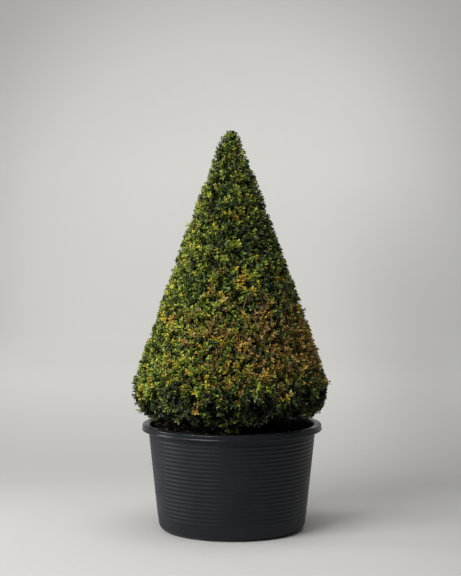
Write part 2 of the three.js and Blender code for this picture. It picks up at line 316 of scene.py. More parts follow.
def tree_with(name, inputs):
    """A geometry tree with named inputs: its graph, and the inputs' values and identifiers."""
    tree = bpy.data.node_groups.new(name, "GeometryNodeTree")
    tree.interface.new_socket("Geometry", in_out="INPUT", socket_type="NodeSocketGeometry")
    tree.interface.new_socket("Geometry", in_out="OUTPUT", socket_type="NodeSocketGeometry")
    made = {key: tree.interface.new_socket(key, in_out="INPUT", socket_type=kind)
            for key, kind in inputs.items()}
    graph = Graph(tree)
    names = ("Geometry", *inputs)
    values = dict(zip(names, graph.node("NodeGroupInput", out=names)))
    return graph, values, {key: socket.identifier for key, socket in made.items()}


def close_tree(graph, geometry, material):
    """Realizes what the tree made, gives it its material and ends the tree."""
    whole = graph.node("GeometryNodeRealizeInstances", None, {"Geometry": geometry})
    smooth = graph.node("GeometryNodeSetShadeSmooth", None, {0: whole})
    painted = graph.node("GeometryNodeSetMaterial", None, {"Geometry": smooth, "Material": material})
    graph.node("NodeGroupOutput", None, {0: painted}, out=())


def run_tree(name, mesh, graph, identifiers, values, spent=()):
    """The plain mesh that a geometry tree makes of a mesh, without the values that it has used up."""
    carrier = placed(name, mesh)
    modifier = carrier.modifiers.new("growth", "NODES")
    modifier.node_group = graph.tree
    for key, value in values.items():
        modifier[identifiers[key]] = value
    made = baked(carrier)
    bpy.data.node_groups.remove(graph.tree)
    for key in spent:
        if key in made.attributes:
            made.attributes.remove(made.attributes[key])
    return made


def baked(carrier):
    """Applies an object's modifiers into a new mesh, and removes the object."""
    bpy.context.view_layer.update()
    graph = bpy.context.evaluated_depsgraph_get()
    made = bpy.data.meshes.new_from_object(
        carrier.evaluated_get(graph), preserve_all_data_layers=True, depsgraph=graph)
    bpy.data.objects.remove(carrier)
    return made


# ---------------------------------------------------------------- pieces

def placed(name, data):
    """A new object in the scene, at the origin."""
    made = bpy.data.objects.new(name, data)
    bpy.context.scene.collection.objects.link(made)
    return made


def piece(name, mesh, slot, *replaced):
    """A finished piece: it rides on the plant's one body and stands for the nodes named."""
    made = placed(name, mesh)
    mesh.name = name
    if not mesh.polygons:
        raise RuntimeError(f"{name} has no faces")
    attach(made, "root")
    if replaced:
        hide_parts(*replaced)


def mesh_of(name, points, faces, material=None, smooth=True):
    """A mesh of points and faces, of one material."""
    mesh = bpy.data.meshes.new(name)
    mesh.from_pydata([tuple(p) for p in points], [], [tuple(int(i) for i in f) for f in faces])
    mesh.validate()
    if material:
        mesh.materials.append(material)
    mesh.polygons.foreach_set("use_smooth", [smooth] * len(mesh.polygons))
    mesh.update()
    return mesh


def points_mesh(name, points, **values):
    """A mesh of bare points that carry named values."""
    made = bpy.data.meshes.new(name)
    made.vertices.add(len(points))
    made.vertices.foreach_set("co", points.astype(np.float32).ravel())
    for key, data in values.items():
        kind, field = ("FLOAT_VECTOR", "vector") if data.ndim > 1 else ("FLOAT", "value")
        attribute = made.attributes.new(key, kind, "POINT")
        attribute.data.foreach_set(field, data.astype(np.float32).ravel())
    return made


def grid_faces(rows, columns):
    """Quads between rows of points that close round on themselves."""
    i, j = np.meshgrid(np.arange(rows - 1), np.arange(columns), indexing="ij")
    k = (j + 1) % columns
    quads = [i * columns + j, i * columns + k, (i + 1) * columns + k, (i + 1) * columns + j]
    return np.stack(quads, -1).reshape(-1, 4)


def capped_faces(rows, columns):
    """Those quads, and fans that close both ends on two more points, the foot's and the tip's."""
    faces = [tuple(f) for f in grid_faces(rows, columns)]
    foot, tip, last = rows * columns, rows * columns + 1, (rows - 1) * columns
    for j in range(columns):
        k = (j + 1) % columns
        faces.append((foot, k, j))
        faces.append((tip, last + j, last + k))
    return faces


def tube_mesh(name, rings, material):
    """A closed skin over rings of points, from the foot to the tip, both ends capped."""
    points = np.concatenate([rings.reshape(-1, 3), rings[:1].mean(1), rings[-1:].mean(1)])
    return mesh_of(name, points, capped_faces(*rings.shape[:2]), material)


def join_meshes(name, meshes):
    """One mesh of several that share one material."""
    points, faces, start = [], [], 0
    for mesh in meshes:
        points += [v.co[:] for v in mesh.vertices]
        faces += [[start + i for i in p.vertices] for p in mesh.polygons]
        start += len(mesh.vertices)
    return mesh_of(name, points, faces, meshes[0].materials[0])


# ---------------------------------------------------------------- the clipped outline

def outline_radius(cone, height):
    """Radius of the clipped cone at each height."""
    height = np.asarray(height, float)
    tuck = (cone.widest_height - height) / (cone.widest_height - cone.foot)
    low = cone.widest_radius - cone.tuck * np.clip(tuck, 0, 1) ** 3
    below = np.maximum(0, cone.top - height)
    rise = 1 - below / (cone.top - cone.widest_height)
    side = cone.slope * (cone.apex - height) + cone.swell * np.sin(math.pi * rise)
    tip = np.sqrt(np.maximum(0, below * (2 * cone.tip_rounding - below)))
    side = np.where(below < cone.tip_rounding, np.minimum(side, tip), side)
    return np.where(height < cone.widest_height, low, np.minimum(side, cone.widest_radius))


def polar(radius, bearing, height, shift=0.0):
    """Points from their distance from an axis, bearing and height."""
    radius, bearing, height = np.broadcast_arrays(radius, bearing, height)
    return np.stack([shift + radius * np.cos(bearing), radius * np.sin(bearing), height], -1)


def around(cone, radius, bearing, height):
    """Points from their distance from the cone's axis, bearing and height."""
    return polar(radius, bearing, height, cone.shift)


def turns_of(count):
    """Bearings in equal steps right round."""
    return np.arange(count) / count * 2 * math.pi


def outline_normal(cone, bearing, height):
    """Outward directions of the clipped surface."""
    step = 0.002
    lean = (outline_radius(cone, height - step) - outline_radius(cone, height + step)) / (2 * step)
    lean = np.clip(lean, -2, 6)
    made = np.stack([np.cos(bearing), np.sin(bearing), lean], -1)
    return made / np.linalg.norm(made, axis=1, keepdims=True)


# The lower edge of the foliage hangs in swags: bearing of the middle, half width and drop of each.
HEM_TOP = 0.364
SWAGS = [(-90, 24, 0.036), (-15, 30, 0.017), (35, 30, 0.028), (75, 30, 0.030), (110, 30, 0.030),
         (150, 30, 0.028), (-172, 26, 0.015), (-128, 16, 0.006)]


def hem_height(bearing):
    """Height of the foliage's lower edge at each bearing."""
    hang = np.zeros_like(np.asarray(bearing, float))
    for middle, half_width, drop in SWAGS:
        aside = np.degrees(wrapped(bearing - math.radians(middle))) / half_width
        hang = np.maximum(hang, drop * np.clip(1 - aside ** 2, 0, 1) ** 0.7)
    return HEM_TOP - hang


def wrapped(angle):
    """The same angle between half a turn back and half a turn on."""
    return (np.asarray(angle) + math.pi) % FULL_TURN - math.pi


def sites(cone, count, low, jitter, rng):
    """Places all over the clipped surface, in equal steps of its area from the tip down, each a
    golden angle further round than the last, then shaken. Returns bearings and heights."""
    heights = np.linspace(low, cone.top - 0.0005, 4000)
    radii = outline_radius(cone, heights)
    rings = FULL_TURN * radii[:-1] * np.hypot(np.diff(heights), np.diff(radii))
    area = np.concatenate([[0], np.cumsum(rings)])
    spacing = math.sqrt(area[-1] / count)
    share = 1 - (np.arange(count) + 0.5) / count
    height = np.interp(share * area[-1], area, heights)
    bearing = np.arange(count) * GOLDEN_ANGLE
    radius = outline_radius(cone, height)
    shake = rng.uniform(-jitter, jitter, (count, 2)) * spacing
    bearing = bearing + shake[:, 0] / np.maximum(radius, spacing)
    height = np.clip(height + shake[:, 1], low, cone.top - 0.001)
    return wrapped(bearing), height, spacing


def smooth_noise(points, size, offset=0.0):
    """Smooth noise from -1 to 1 at each point, with features of that size."""
    shift = Vector((offset, 2.3 * offset, -1.7 * offset))
    return np.array([noise.noise(Vector(p) / size + shift) for p in points])


def unit(vectors):
    return vectors / np.maximum(np.linalg.norm(vectors, axis=-1, keepdims=True), 1e-9)


def square_to(vectors, ways):
    """The vectors, turned until each is square to its way."""
    return unit(vectors - (vectors * ways).sum(1, keepdims=True) * ways)


# ---------------------------------------------------------------- growth

# how many numbers the frame draws for the leaves of each limb
FRAME_DRAWS_PASSED = 9


def seeded(seed):
    """Repeatable random numbers between 0 and 1, drawn as the frame draws them."""
    state = seed
    while True:
        state = state * 16807 % 2147483647
        yield state / 2147483647


def lobe_bearing(index):
    return math.radians(FIRST_LOBE + index * 360 / LOBES)


def seam(bearing):
    """Height at which the lower masses end and the crown begins."""
    return SEAM_HEIGHT + SEAM_WAVE * np.cos(LOBES * (bearing - lobe_bearing(0)))


def limbs(cone):
    """The frame's own twigs: the crown's from the leader, and each lower mass's from its stalk.
    Returns the leader, the stalks, and the twigs' feet and tips."""
    inset, mass_inset, above_hem, below_seam = 0.024, 0.018, 0.01, 0.008
    foot = np.array([*STEM_AXIS[1], STEM_TOP])
    top = around(cone, 0, 0, cone.top - inset)
    leader = np.array([foot, top])
    feet, tips = [], []
    for i in range(CROWN_LIMBS):
        share = (i + 0.5) / CROWN_LIMBS
        low, high = (cone.apex - cone.top) ** 2, (cone.apex - LOWEST_CROWN_LIMB) ** 2
        height = cone.apex - math.sqrt(low + (high - low) * share)
        radius = float(outline_radius(cone, height))
        tips.append(around(cone, max(radius - inset, 0.4 * radius), i * GOLDEN_ANGLE, height))
        start = max(height - 0.5 * radius, LOWEST_CROWN_LIMB)
        feet.append(foot + (top - foot) * min(1, max(0, (start - foot[2]) / (top[2] - foot[2]))))
    stalks = []
    for index in range(LOBES):
        draw = seeded(101 + index)
        bearing = lobe_bearing(index)
        stalk = np.array([around(cone, reach, bearing, STALK_HEIGHT)
                          for reach in (STALK_START, STALK_END)])
        stalks.append(stalk)
        for number, share in ((2, 0.14), (3, 0.5), (2, 0.84)):
            for i in range(number):
                spread = ((i + 0.5) / number - 0.5) * 0.8 + 0.06 * (next(draw) - 0.5)
                at = bearing + spread * FULL_TURN / LOBES
                low = max(LOWEST_MASS_LIMB, float(hem_height(at)) + above_hem)
                high = seam(at) - below_seam
                height = low + (high - low) * share
                radius = float(outline_radius(cone, height)) - mass_inset
                tips.append(around(cone, radius, at, height))
                feet.append(stalk[0] + (stalk[1] - stalk[0]) * (0.35 + 0.3 * next(draw)))
                for _ in range(FRAME_DRAWS_PASSED):
                    next(draw)
    return leader, stalks, np.array(feet), np.array(tips)


# The pairs of leaves on a shoot, from its tip back: how far back, share of full length, and angle
# from the shoot.
LEAF_PAIRS = [(0.0, 0.66, 32), (0.0035, 0.9, 50), (0.0085, 1.0, 60), (0.0145, 1.0, 66),
              (0.0205, 0.96, 70), (0.026, 0.9, 72), (0.031, 0.85, 74), (0.036, 0.8, 76)]


class Growth:
    """All that has grown: limbs, tufts, shoots and bare twigs as points, and for every leaf its
    root, way, face, scale and tint."""

    def __init__(self, cone, growth):
        rng = np.random.default_rng(growth.seed)
        self.cone = cone
        self.leader, self.stalks, self.feet, self.tips = limbs(cone)
        self.grow_tufts(growth, rng)
        self.grow_shoots(growth, rng)
        self.grow_bare_twigs(np.random.default_rng(growth.seed + SEED_STEP_TWIGS))
        grown = self.leaves_on_shoots(growth, rng) + self.leaves_inside(rng)
        self.roots, self.ways, self.faces, self.scales, self.tints = (
            np.concatenate(rows) for rows in zip(*grown))

    def grow_tufts(self, growth, rng):
        """Side twigs: each leaves the nearest limb and ends in the hub of a tuft."""
        cone = self.cone
        lowest, shake, above_hem = 0.335, 0.3, 0.004
        bearing, height, spacing = sites(cone, growth.tufts, lowest, shake, rng)
        keep = height > hem_height(bearing) + above_hem
        bearing, height = bearing[keep], height[keep]
        spots = around(cone, outline_radius(cone, height), bearing, height)
        normals = outline_normal(cone, bearing, height)
        radius = outline_radius(cone, height)
        shallow, deep, deepest_share, sink = 0.036, 0.048, 0.55, 0.25
        depth = np.minimum(rng.uniform(shallow, deep, len(spots)), deepest_share * radius)
        hubs = spots - normals * depth[:, None] - UP * (sink * depth)[:, None]
        nearest = ((hubs[:, None] - self.tips[None]) ** 2).sum(-1).argmin(1)
        share = rng.uniform(0.55, 0.9, len(hubs))[:, None]
        roots = self.feet[nearest] + (self.tips[nearest] - self.feet[nearest]) * share
        self.tuft_spots, self.tuft_normals, self.tuft_spacing = spots, normals, spacing
        self.tuft_bearings, self.tuft_heights = bearing, height
        self.hubs, self.tuft_roots = hubs, roots
        # the tufts of the foot stand out unevenly, those above are clipped nearly level
        loose_below, loose, clipped, broad = 0.43, 0.0125, 0.0046, 0.004
        uneven = np.where(height < loose_below, loose, clipped)
        swell = rng.normal(0, 1, len(hubs)) * uneven
        self.tuft_swell = swell + broad * smooth_noise(spots, 0.05, 3.1)

    def grow_shoots(self, growth, rng):
        """Shoots: each rises from the hub of its tuft to its own place on the clipped surface."""
        cone = self.cone
        lowest, shake = 0.331, 0.42
        bearing, height, _ = sites(cone, growth.shoots, lowest, shake, rng)
        keep = height > hem_height(bearing) + rng.uniform(-0.006, 0.004, len(height))
        bearing, height = bearing[keep], height[keep]
        spots = around(cone, outline_radius(cone, height), bearing, height)
        normals = outline_normal(cone, bearing, height)

        # the underside, from the hem inwards, where shoots droop
        under_share, inner, outer = 0.07, 0.15, 0.255
        count = int(growth.shoots * under_share)
        under = wrapped(np.arange(count) * GOLDEN_ANGLE + rng.uniform(-0.2, 0.2, count))
        under_radius = np.sqrt(rng.uniform(inner ** 2, outer ** 2, count))
        under_height = hem_height(under) + rng.uniform(0, 0.012, count)
        droop = unit(np.stack([np.cos(under), np.sin(under), np.full(count, -1.1)], -1))
        spots = np.concatenate([spots, around(cone, under_radius, under, under_height)])
        normals = np.concatenate([normals, droop])
        height = np.concatenate([height, under_height])
        bearing = np.concatenate([bearing, under])
        total = len(spots)

        tuft = np.concatenate([((part[:, None] - self.tuft_spots[None]) ** 2).sum(-1).argmin(1)
                               for part in np.array_split(spots, 16)])
        # tufts stand apart low down, and close up above
        apart = np.linalg.norm(spots - self.tuft_spots[tuft], axis=1) / self.tuft_spacing
        loose_top, loose_depth = 0.455, 0.05
        low = np.clip((loose_top - height) / loose_depth, 0, 1)
        proud = 0.004 - (0.021 + 0.042 * low) * np.clip(apart, 0, 0.9) ** 2
        proud = proud + self.tuft_swell[tuft] + rng.normal(0, 0.0046, total)
        # wayward shoots low on the sides, and a few all over, pass the clipped surface
        sides = (height < 0.46) & (height > 0.34)
        wild_low, wild_above, shorter_above = 0.036, 0.008, 0.7
        wild = rng.random(total) < np.where(sides, wild_low, wild_above)
        passing = rng.uniform(0.008, 0.019, total) * np.where(sides, 1, shorter_above)
        proud = np.where(wild, passing, proud)
        wild_most, most, near_tip = 0.018, 0.005, 0.06
        proud = np.minimum(proud, np.where(wild, wild_most, most))
        proud = np.minimum(proud, np.interp(height, [cone.top - near_tip, cone.top], [0.02, -0.006]))
        leaf, share_beyond = leaf_length(cone, growth, height), 0.55
        tips = spots + normals * (proud - share_beyond * leaf)[:, None]
        hubs = self.hubs[tuft]
        lift = np.interp(height, [0.33, 0.37, 0.48], [-0.35, 0.0, 0.5])
        run = unit(0.75 * normals + 0.45 * unit(tips - hubs) + lift[:, None] * UP
                   + rng.normal(0, 0.22, (total, 3)))
        longest = 0.027
        leafy = np.minimum(longest, 0.8 * np.linalg.norm(tips - hubs, axis=1) + 0.006)
        # between the tufts the shoots are fewer, and their leaves are dealt the near-black shade tint:
        # painted shade in the hollows
        edge_from, edge_width, thinning, hollow_shade_above = 0.28, 0.25, 0.82, 0.14
        edge = np.clip((apart - edge_from) / edge_width, 0, 1)
        thinned = rng.random(total) < thinning * low * edge
        keep = ~thinned | wild
        self.hollow_shade = ((hollow_shade_above + (1 - hollow_shade_above) * low) * edge)[keep]
        self.spots, self.heights, self.bearings = spots[keep], height[keep], bearing[keep]
        self.shoot_tips = tips[keep]
        self.shoot_runs = run[keep]
        self.shoot_hubs, self.shoot_bends = hubs[keep], tips[keep] - run[keep] * leafy[keep][:, None]
        self.shoot_leaf = leaf[keep] * rng.uniform(0.86, 1.14, keep.sum())
        self.shoot_tints = deal_tints(self, growth, rng)

    def grow_bare_twigs(self, rng):
        """Twigs that have lost their leaves: they rise steeply, close under the clipped surface."""
        cone = self.cone
        chance_anywhere, steps = 0.012, 6
        chance = np.full(len(self.hubs), chance_anywhere)
        for bearing, height, reach_round, reach_up, strength in BARE_PLACES:
            here = near(cone, self.tuft_bearings, self.tuft_heights, bearing, height,
                        reach_round, reach_up)
            chance = np.maximum(chance, strength * here)
        chosen = np.flatnonzero(rng.random(len(chance)) < chance)
        count = len(chosen)
        share = np.linspace(0, 1, steps)[None]
        climb = rng.uniform(0.035, 0.095, (count, 1))
        drift = rng.normal(0, 0.016, (count, 1))
        start = self.tuft_heights[chosen][:, None] - 0.012
        heights = np.minimum(start + climb * share, cone.top - 0.03)
        radii = outline_radius(cone, heights)
        depth = rng.uniform(0.002, 0.011, (count, 1)) + 0.034 * (1 - share) ** 2.2
        turn = self.tuft_bearings[chosen][:, None] + drift / radii * (share + 0.4 * share ** 2)
        turn = turn + rng.normal(0, 0.0012, (count, steps)) / radii
        self.bare_chains = around(cone, radii - depth, turn, heights)
        self.bare_chains[:, 0] = self.hubs[chosen]

    def leaves_on_shoots(self, growth, rng):
        """Opposite pairs of leaves, each pair a quarter turn from the last, their faces outwards:
        their roots, ways, faces, scales and tints."""
        total = len(self.shoot_tips)
        run = self.shoot_runs
        side = unit(np.cross(run, UP + rng.normal(0, 0.2, (total, 3))))
        other = np.cross(run, side)
        roll = rng.uniform(0, math.pi, total)
        slim = np.interp(self.heights, [0.37, 0.50], [0.78, 0.98])
        made = []
        for pair in range(growth.pairs):
            along, share, spread = LEAF_PAIRS[pair]
            for half in range(2):
                turn = roll + pair * math.pi / 2 + half * math.pi + rng.normal(0, 0.18, total)
                out = np.cos(turn)[:, None] * side + np.sin(turn)[:, None] * other
                open_by = math.radians(spread) + rng.normal(0, 0.16, total)
                way = unit(np.sin(open_by)[:, None] * out + np.cos(open_by)[:, None] * run
                           + rng.normal(0, 0.07, (total, 3)))
                face = square_to(run + 0.25 * UP + rng.normal(0, 0.36, (total, 3)), way)
                size = self.shoot_leaf * share * rng.uniform(0.86, 1.12, total)
                width = slim * growth.leaf_width * rng.uniform(0.88, 1.12, total)
                scale = np.stack([size * width, size, size * rng.uniform(0.3, 1.7, total)], -1)
                tints = vary_tints(self.shoot_tints, pair, rng)
                made.append((self.shoot_tips - run * along, way, face, scale, tints))
        return made

    def leaves_inside(self, rng):
        """Older leaves inside the cone, along the side twigs, the limbs and the bare part of every
        shoot, so that nothing shows through from any side: more of them where the tufts stand apart, and
        fewer and smaller ones where the cone narrows to its tip. Their near-black inner tint is painted
        shade of the cone's inside."""
        narrow_from, narrow_to, shortest, longest = 1.0, 1.16, 0.019, 0.026
        body = self.heights < narrow_from
        low, lower = self.tuft_heights < 0.62, self.tips[:, 2] < 0.46
        outward = unit(self.tips - self.feet)
        made = []
        for feet, tips, normals, rounds in (
                (self.shoot_hubs[body], self.shoot_bends[body], self.shoot_runs[body], 3),
                (self.tuft_roots, self.hubs, self.tuft_normals, 16),
                (self.tuft_roots[low], self.hubs[low], self.tuft_normals[low], 14),
                (self.feet, self.tips, outward, 46),
                (self.feet[lower], self.tips[lower], outward[lower], 40)):
            for _ in range(rounds):
                root = feet + (tips - feet) * rng.uniform(0.1, 1.0, len(feet))[:, None]
                way = unit(normals + rng.normal(0, 0.8, root.shape))
                face = unit(normals + rng.normal(0, 0.7, root.shape))
                size = rng.uniform(shortest, longest, len(root))
                size *= np.interp(root[:, 2], [narrow_from, narrow_to], [1.0, 0.4])
                scale = np.stack([size * 0.7, size, size], -1)
                # the near-black inner tint: painted shade inside the cone
                tints = np.full(len(root), TINTS.index("inner"))
                made.append((root, way, square_to(face, way), scale, tints))
        return made


def leaf_length(cone, growth, height):
    """Length of the leaves at each height: longer towards the foot."""
    return np.interp(height, [0.37, 0.47, cone.top],
                     [growth.leaf_foot, growth.leaf_side, growth.leaf_top])


# ---------------------------------------------------------------- tints

# dark tints given weaker highlights; shade and inner among them are painted shade
DARK_AND_SHADE_TINTS = ("shade", "deep", "blue", "inner")
TINTS = ["shade", "deep", "blue", "mid", "fresh", "lime", "yellow", "gold", "olive", "bronze", "tan",
         "inner"]
BASE_MIX = {"shade": 0.05, "deep": 0.28, "blue": 0.10, "mid": 0.31, "fresh": 0.15, "lime": 0.045,
            "yellow": 0.012, "olive": 0.045}
# dark tints that stand in for the shade round the foot: painted shade
PAINTED_FOOT_SHADE = {"deep": 0.40, "shade": 0.50, "blue": 0.04, "mid": 0.06}
# What grows differently, and where: bearing and height of the middle, how far it reaches round and
# up, its strength, and its mix of tints.
PLACES = [
    # the flank that gets most light: lighter, yellower tints, partly the leaves' own colour and partly
    # painted light on the lit flank
    (-178, 0.54, 0.26, 0.24, 0.9, {"fresh": 0.56, "lime": 0.2, "mid": 0.2, "yellow": 0.02}),
    # darker greens high on the right, the side away from the light: painted shade
    (-60, 0.97, 0.12, 0.20, 0.6, {"deep": 0.42, "blue": 0.16, "mid": 0.3, "fresh": 0.1}),
    # lighter tints again on the lit flank, partly painted light
    (-172, 0.85, 0.13, 0.26, 0.8, {"fresh": 0.46, "lime": 0.26, "mid": 0.24, "yellow": 0.03}),
    (-150, 0.70, 0.17, 0.20, 0.70, {"fresh": 0.42, "lime": 0.30, "mid": 0.22, "yellow": 0.05}),
    # the bronzed side
    (-62, 0.56, 0.17, 0.14, 0.88, {"olive": 0.40, "bronze": 0.23, "tan": 0.16, "mid": 0.10,
                                   "deep": 0.06, "gold": 0.05}),
    (-38, 0.53, 0.15, 0.09, 0.85, {"olive": 0.26, "bronze": 0.34, "gold": 0.18, "tan": 0.12,
                                   "mid": 0.08}),
    (-12, 0.58, 0.12, 0.14, 0.75, {"gold": 0.28, "bronze": 0.34, "olive": 0.28, "tan": 0.06}),
    (-92, 0.60, 0.12, 0.09, 0.55, {"olive": 0.42, "tan": 0.14, "mid": 0.22, "fresh": 0.12,
                                   "bronze": 0.1}),
    (-110, 0.50, 0.16, 0.08, 0.4, {"olive": 0.3, "gold": 0.12, "lime": 0.2, "fresh": 0.2,
                                   "mid": 0.18}),
    # green low on the lit flank, then dark green all round the foot, most of all on the right: painted
    # shade under the cone's overhang and away from the light
    (-172, 0.44, 0.17, 0.065, 0.88, {"fresh": 0.42, "mid": 0.34, "deep": 0.18, "lime": 0.05}),
    (-54, 0.385, 0.17, 0.072, 0.95, PAINTED_FOOT_SHADE),
    (-16, 0.385, 0.17, 0.085, 0.92, PAINTED_FOOT_SHADE),
    (-108, 0.385, 0.19, 0.066, 0.95, {"deep": 0.44, "shade": 0.42, "mid": 0.12, "fresh": 0.02}),
    (-152, 0.380, 0.14, 0.048, 0.8, {"deep": 0.42, "shade": 0.22, "mid": 0.28, "fresh": 0.08}),
    (90, 0.375, 0.9, 0.040, 0.6, PAINTED_FOOT_SHADE),
]
# Where bare twigs show: bearing, height, reach round and up, and strength.
BARE_PLACES = [(-72, 0.60, 0.17, 0.17, 0.8), (-100, 0.52, 0.12, 0.10, 0.35),
               (-60, 0.40, 0.14, 0.05, 0.4)]
# The next lighter and the next darker tint, where there is one.
LIGHTER = {"shade": "deep", "deep": "mid", "blue": "mid", "mid": "fresh", "fresh": "lime",
           "lime": "yellow", "olive": "bronze", "bronze": "tan"}
DARKER = {"deep": "shade", "mid": "deep", "fresh": "mid", "lime": "fresh", "yellow": "lime",
          "gold": "bronze", "bronze": "olive", "tan": "bronze", "blue": "deep"}


def mix_row(mix):
    """The shares of a mix in the order of the tints."""
    return np.array([mix.get(tint, 0.0) for tint in TINTS])


def near(cone, bearings, heights, bearing, height, reach_round, reach_up):
    """How near each site is to a place, from 0 to 1."""
    aside = wrapped(bearings - math.radians(bearing)) * outline_radius(cone, heights)
    away = (aside / reach_round) ** 2 + ((heights - height) / reach_up) ** 2
    return np.exp(-0.7 * away ** 1.5)


# one run of the random numbers for each thing that has its own, so that none disturbs another
SEED_STEP_TWIGS, SEED_STEP_SPRAYS = 50, 80


def yellowed_sprays(cone, growth):
    """Sprays that have turned as a whole, spread all round the cone: larger and more often gold low
    down. Returns bearing in degrees, height, reach and tint."""
    rng = np.random.default_rng(growth.seed + SEED_STEP_SPRAYS)
    lowest, shake = 0.40, 0.9
    bearings, heights, _ = sites(cone, growth.yellowed, lowest, shake, rng)
    made = []
    for bearing, height in zip(bearings, heights):
        reach = np.interp(height, [0.40, 0.48, cone.top], [0.013, 0.020, 0.012])
        reach *= rng.uniform(0.85, 1.15)
        golden = np.interp(height, [0.40, 0.60, 0.90], [0.75, 0.6, 0.1])
        tint = "gold" if rng.random() < golden else ("yellow", "lime")[int(rng.random() < 0.35)]
        made.append((math.degrees(bearing), height, reach, tint))
    return made


def deal_tints(grown, growth, rng):
    """Deals each shoot its tint by its place, in loose patches a few shoots wide. Some places paint
    light and shade: lighter tints on the lit flank, darker ones on the right, at the foot and in the
    hollows.
    """
    total = len(grown.spots)
    where = (grown.cone, grown.bearings, grown.heights)
    weights = np.tile(mix_row(BASE_MIX), (total, 1))
    for bearing, height, reach_round, reach_up, strength, mix in PLACES:
        share = strength * near(*where, bearing, height, reach_round, reach_up)[:, None]
        weights = weights * (1 - share) + mix_row(mix) * share
    patch = smooth_noise(grown.spots, 0.028, 5.3)
    broad = smooth_noise(grown.spots, 0.11, 9.1)
    # lighter tints gather in patches
    light = np.clip(0.5 + 1.1 * patch + 0.5 * broad, 0, 1.4)
    for tint, gain in (("lime", 3.2), ("yellow", 5.5), ("gold", 4.0), ("fresh", 1.8), ("tan", 2.0)):
        weights[:, TINTS.index(tint)] *= light ** 2 * gain * 0.6 + 0.15
    yellowing = np.clip(smooth_noise(grown.spots, 0.075, 21.7) - 0.12, 0, 1)
    yellowing = yellowing * np.clip((grown.heights - 0.40) / 0.08, 0, 1)
    weights[:, TINTS.index("yellow")] += 0.5 * yellowing * (patch > 0.12)
    weights[:, TINTS.index("lime")] += 0.5 * yellowing * (patch > 0.0)
    for bearing, height, reach, tint in yellowed_sprays(grown.cone, growth):
        share = near(*where, bearing, height, reach, reach)
        weights[:, TINTS.index(tint)] += 1.1 * np.where(share > 0.35, share, 0)
    weights /= weights.sum(1, keepdims=True)
    # near-black leaves in the hollows between the tufts: painted shade
    hollow_shade_gain = 1.6
    weights[:, TINTS.index("shade")] += hollow_shade_gain * grown.hollow_shade
    weights /= weights.sum(1, keepdims=True)
    draw = rng.random(total)[:, None]
    return (np.cumsum(weights, 1) < draw).sum(1).clip(0, len(TINTS) - 1)


def vary_tints(tints, pair, rng):
    """Young leaves at the tip are a step lighter now and then, and those behind a step darker, partly
    the older leaves' own colour and partly painted shade deeper in the shoot.
    """
    up, down = (np.array([TINTS.index(step.get(t, t)) for t in TINTS]) for step in (LIGHTER, DARKER))
    draw = rng.random(len(tints))
    rise, fall = (0.32, 0.08) if pair < 2 else (0.06, 0.18 + 0.11 * pair)
    turned = np.where(draw < rise, up[tints], np.where(draw > 1 - fall, down[tints], tints))
    strays = 0.07
    stray = rng.random(len(tints)) < strays
    return np.where(stray, rng.permutation(tints), turned)


# ---------------------------------------------------------------- leaves and twigs as meshes

FULL_LEAF = [(0.27, 0.16), (0.5, 0.50), (0.36, 0.84)]
PLAIN_LEAF = [(0.5, 0.50)]


def leaf_pattern(side=FULL_LEAF):
    """One leaf a metre long along +Y with its face up, with as many faces as its rim has points.
    Its halves rise from the midrib, and its tip bends back."""
    rim = [(0, 0)] + side + [(0, 1)] + [(-x, y) for x, y in reversed(side)]
    points = [(0, 0.52, -0.02)]
    for x, y in rim:
        points.append((x, y, 0.20 * abs(x) - 0.32 * max(0, y - 0.5) ** 2))
    count = len(rim)
    faces = [(0, i + 1, (i + 1) % count + 1) for i in range(count)]
    return mesh_of("leaf_pattern", points, faces)


def spray_mesh(name, roots, ways, faces, scales, pattern, material):
    """Sets a leaf on every root: its length along ways, its face towards faces."""
    base = points_mesh(name + "_roots", roots, way=ways, face=faces, size=scales)
    graph, inputs, identifiers = tree_with("leaves on their roots", {"Leaf": "NodeSocketObject"})
    way, face, size = (graph.named(key, "FLOAT_VECTOR") for key in ("way", "face", "size"))
    turned = graph.node("FunctionNodeAxesToRotation", {"primary_axis": "Z", "secondary_axis": "Y"},
                        {0: face, 1: way})
    leaf = graph.node("GeometryNodeObjectInfo", None, {"Object": inputs["Leaf"]}, "Geometry")
    points = graph.node("GeometryNodeMeshToPoints", None, {"Mesh": inputs["Geometry"]})
    spread = graph.node("GeometryNodeInstanceOnPoints", None, {
        "Points": points, "Instance": leaf, "Rotation": turned, "Scale": size})
    close_tree(graph, spread, material)
    return run_tree(name, base, graph, identifiers, {"Leaf": pattern}, ("way", "face", "size"))


def limb_mesh(name, chains, radii, sides, material):
    """Round limbs along chains of points, with a radius for each step."""
    count, steps = chains.shape[:2]
    base = points_mesh(name + "_lines", chains.reshape(-1, 3), thickness=np.tile(radii, count))
    first = (np.arange(count)[:, None] * steps + np.arange(steps - 1)[None]).ravel()
    base.edges.add(len(first))
    base.edges.foreach_set("vertices", np.stack([first, first + 1], -1).ravel().astype(np.int32))
    graph, inputs, identifiers = tree_with("limbs along their lines", {"Sides": "NodeSocketInt"})
    thickness = graph.named("thickness", "FLOAT")
    line = graph.node("GeometryNodeMeshToCurve", None, {"Mesh": inputs["Geometry"]})
    ring = graph.node("GeometryNodeCurvePrimitiveCircle", None,
                      {"Resolution": inputs["Sides"], "Radius": 1.0})
    skin = graph.node("GeometryNodeCurveToMesh", None, {
        "Curve": line, "Profile Curve": ring, "Scale": thickness, "Fill Caps": True})
    close_tree(graph, skin, material)
    return run_tree(name, base, graph, identifiers, {"Sides": sides}, ("thickness",))


def bowed(feet, tips, steps, sag, rng):
    """Chains of points from feet to tips that bow a little aside and upwards."""
    share = np.linspace(0, 1, steps)[None, :, None]
    line = feet[:, None] * (1 - share) + tips[:, None] * share
    span = np.linalg.norm(tips - feet, axis=1)[:, None, None]
    aside = rng.normal(0, 0.5, (len(feet), 1, 3)) - np.array([0, 0, 0.9])
    return line + aside * span * sag * np.sin(math.pi * share)


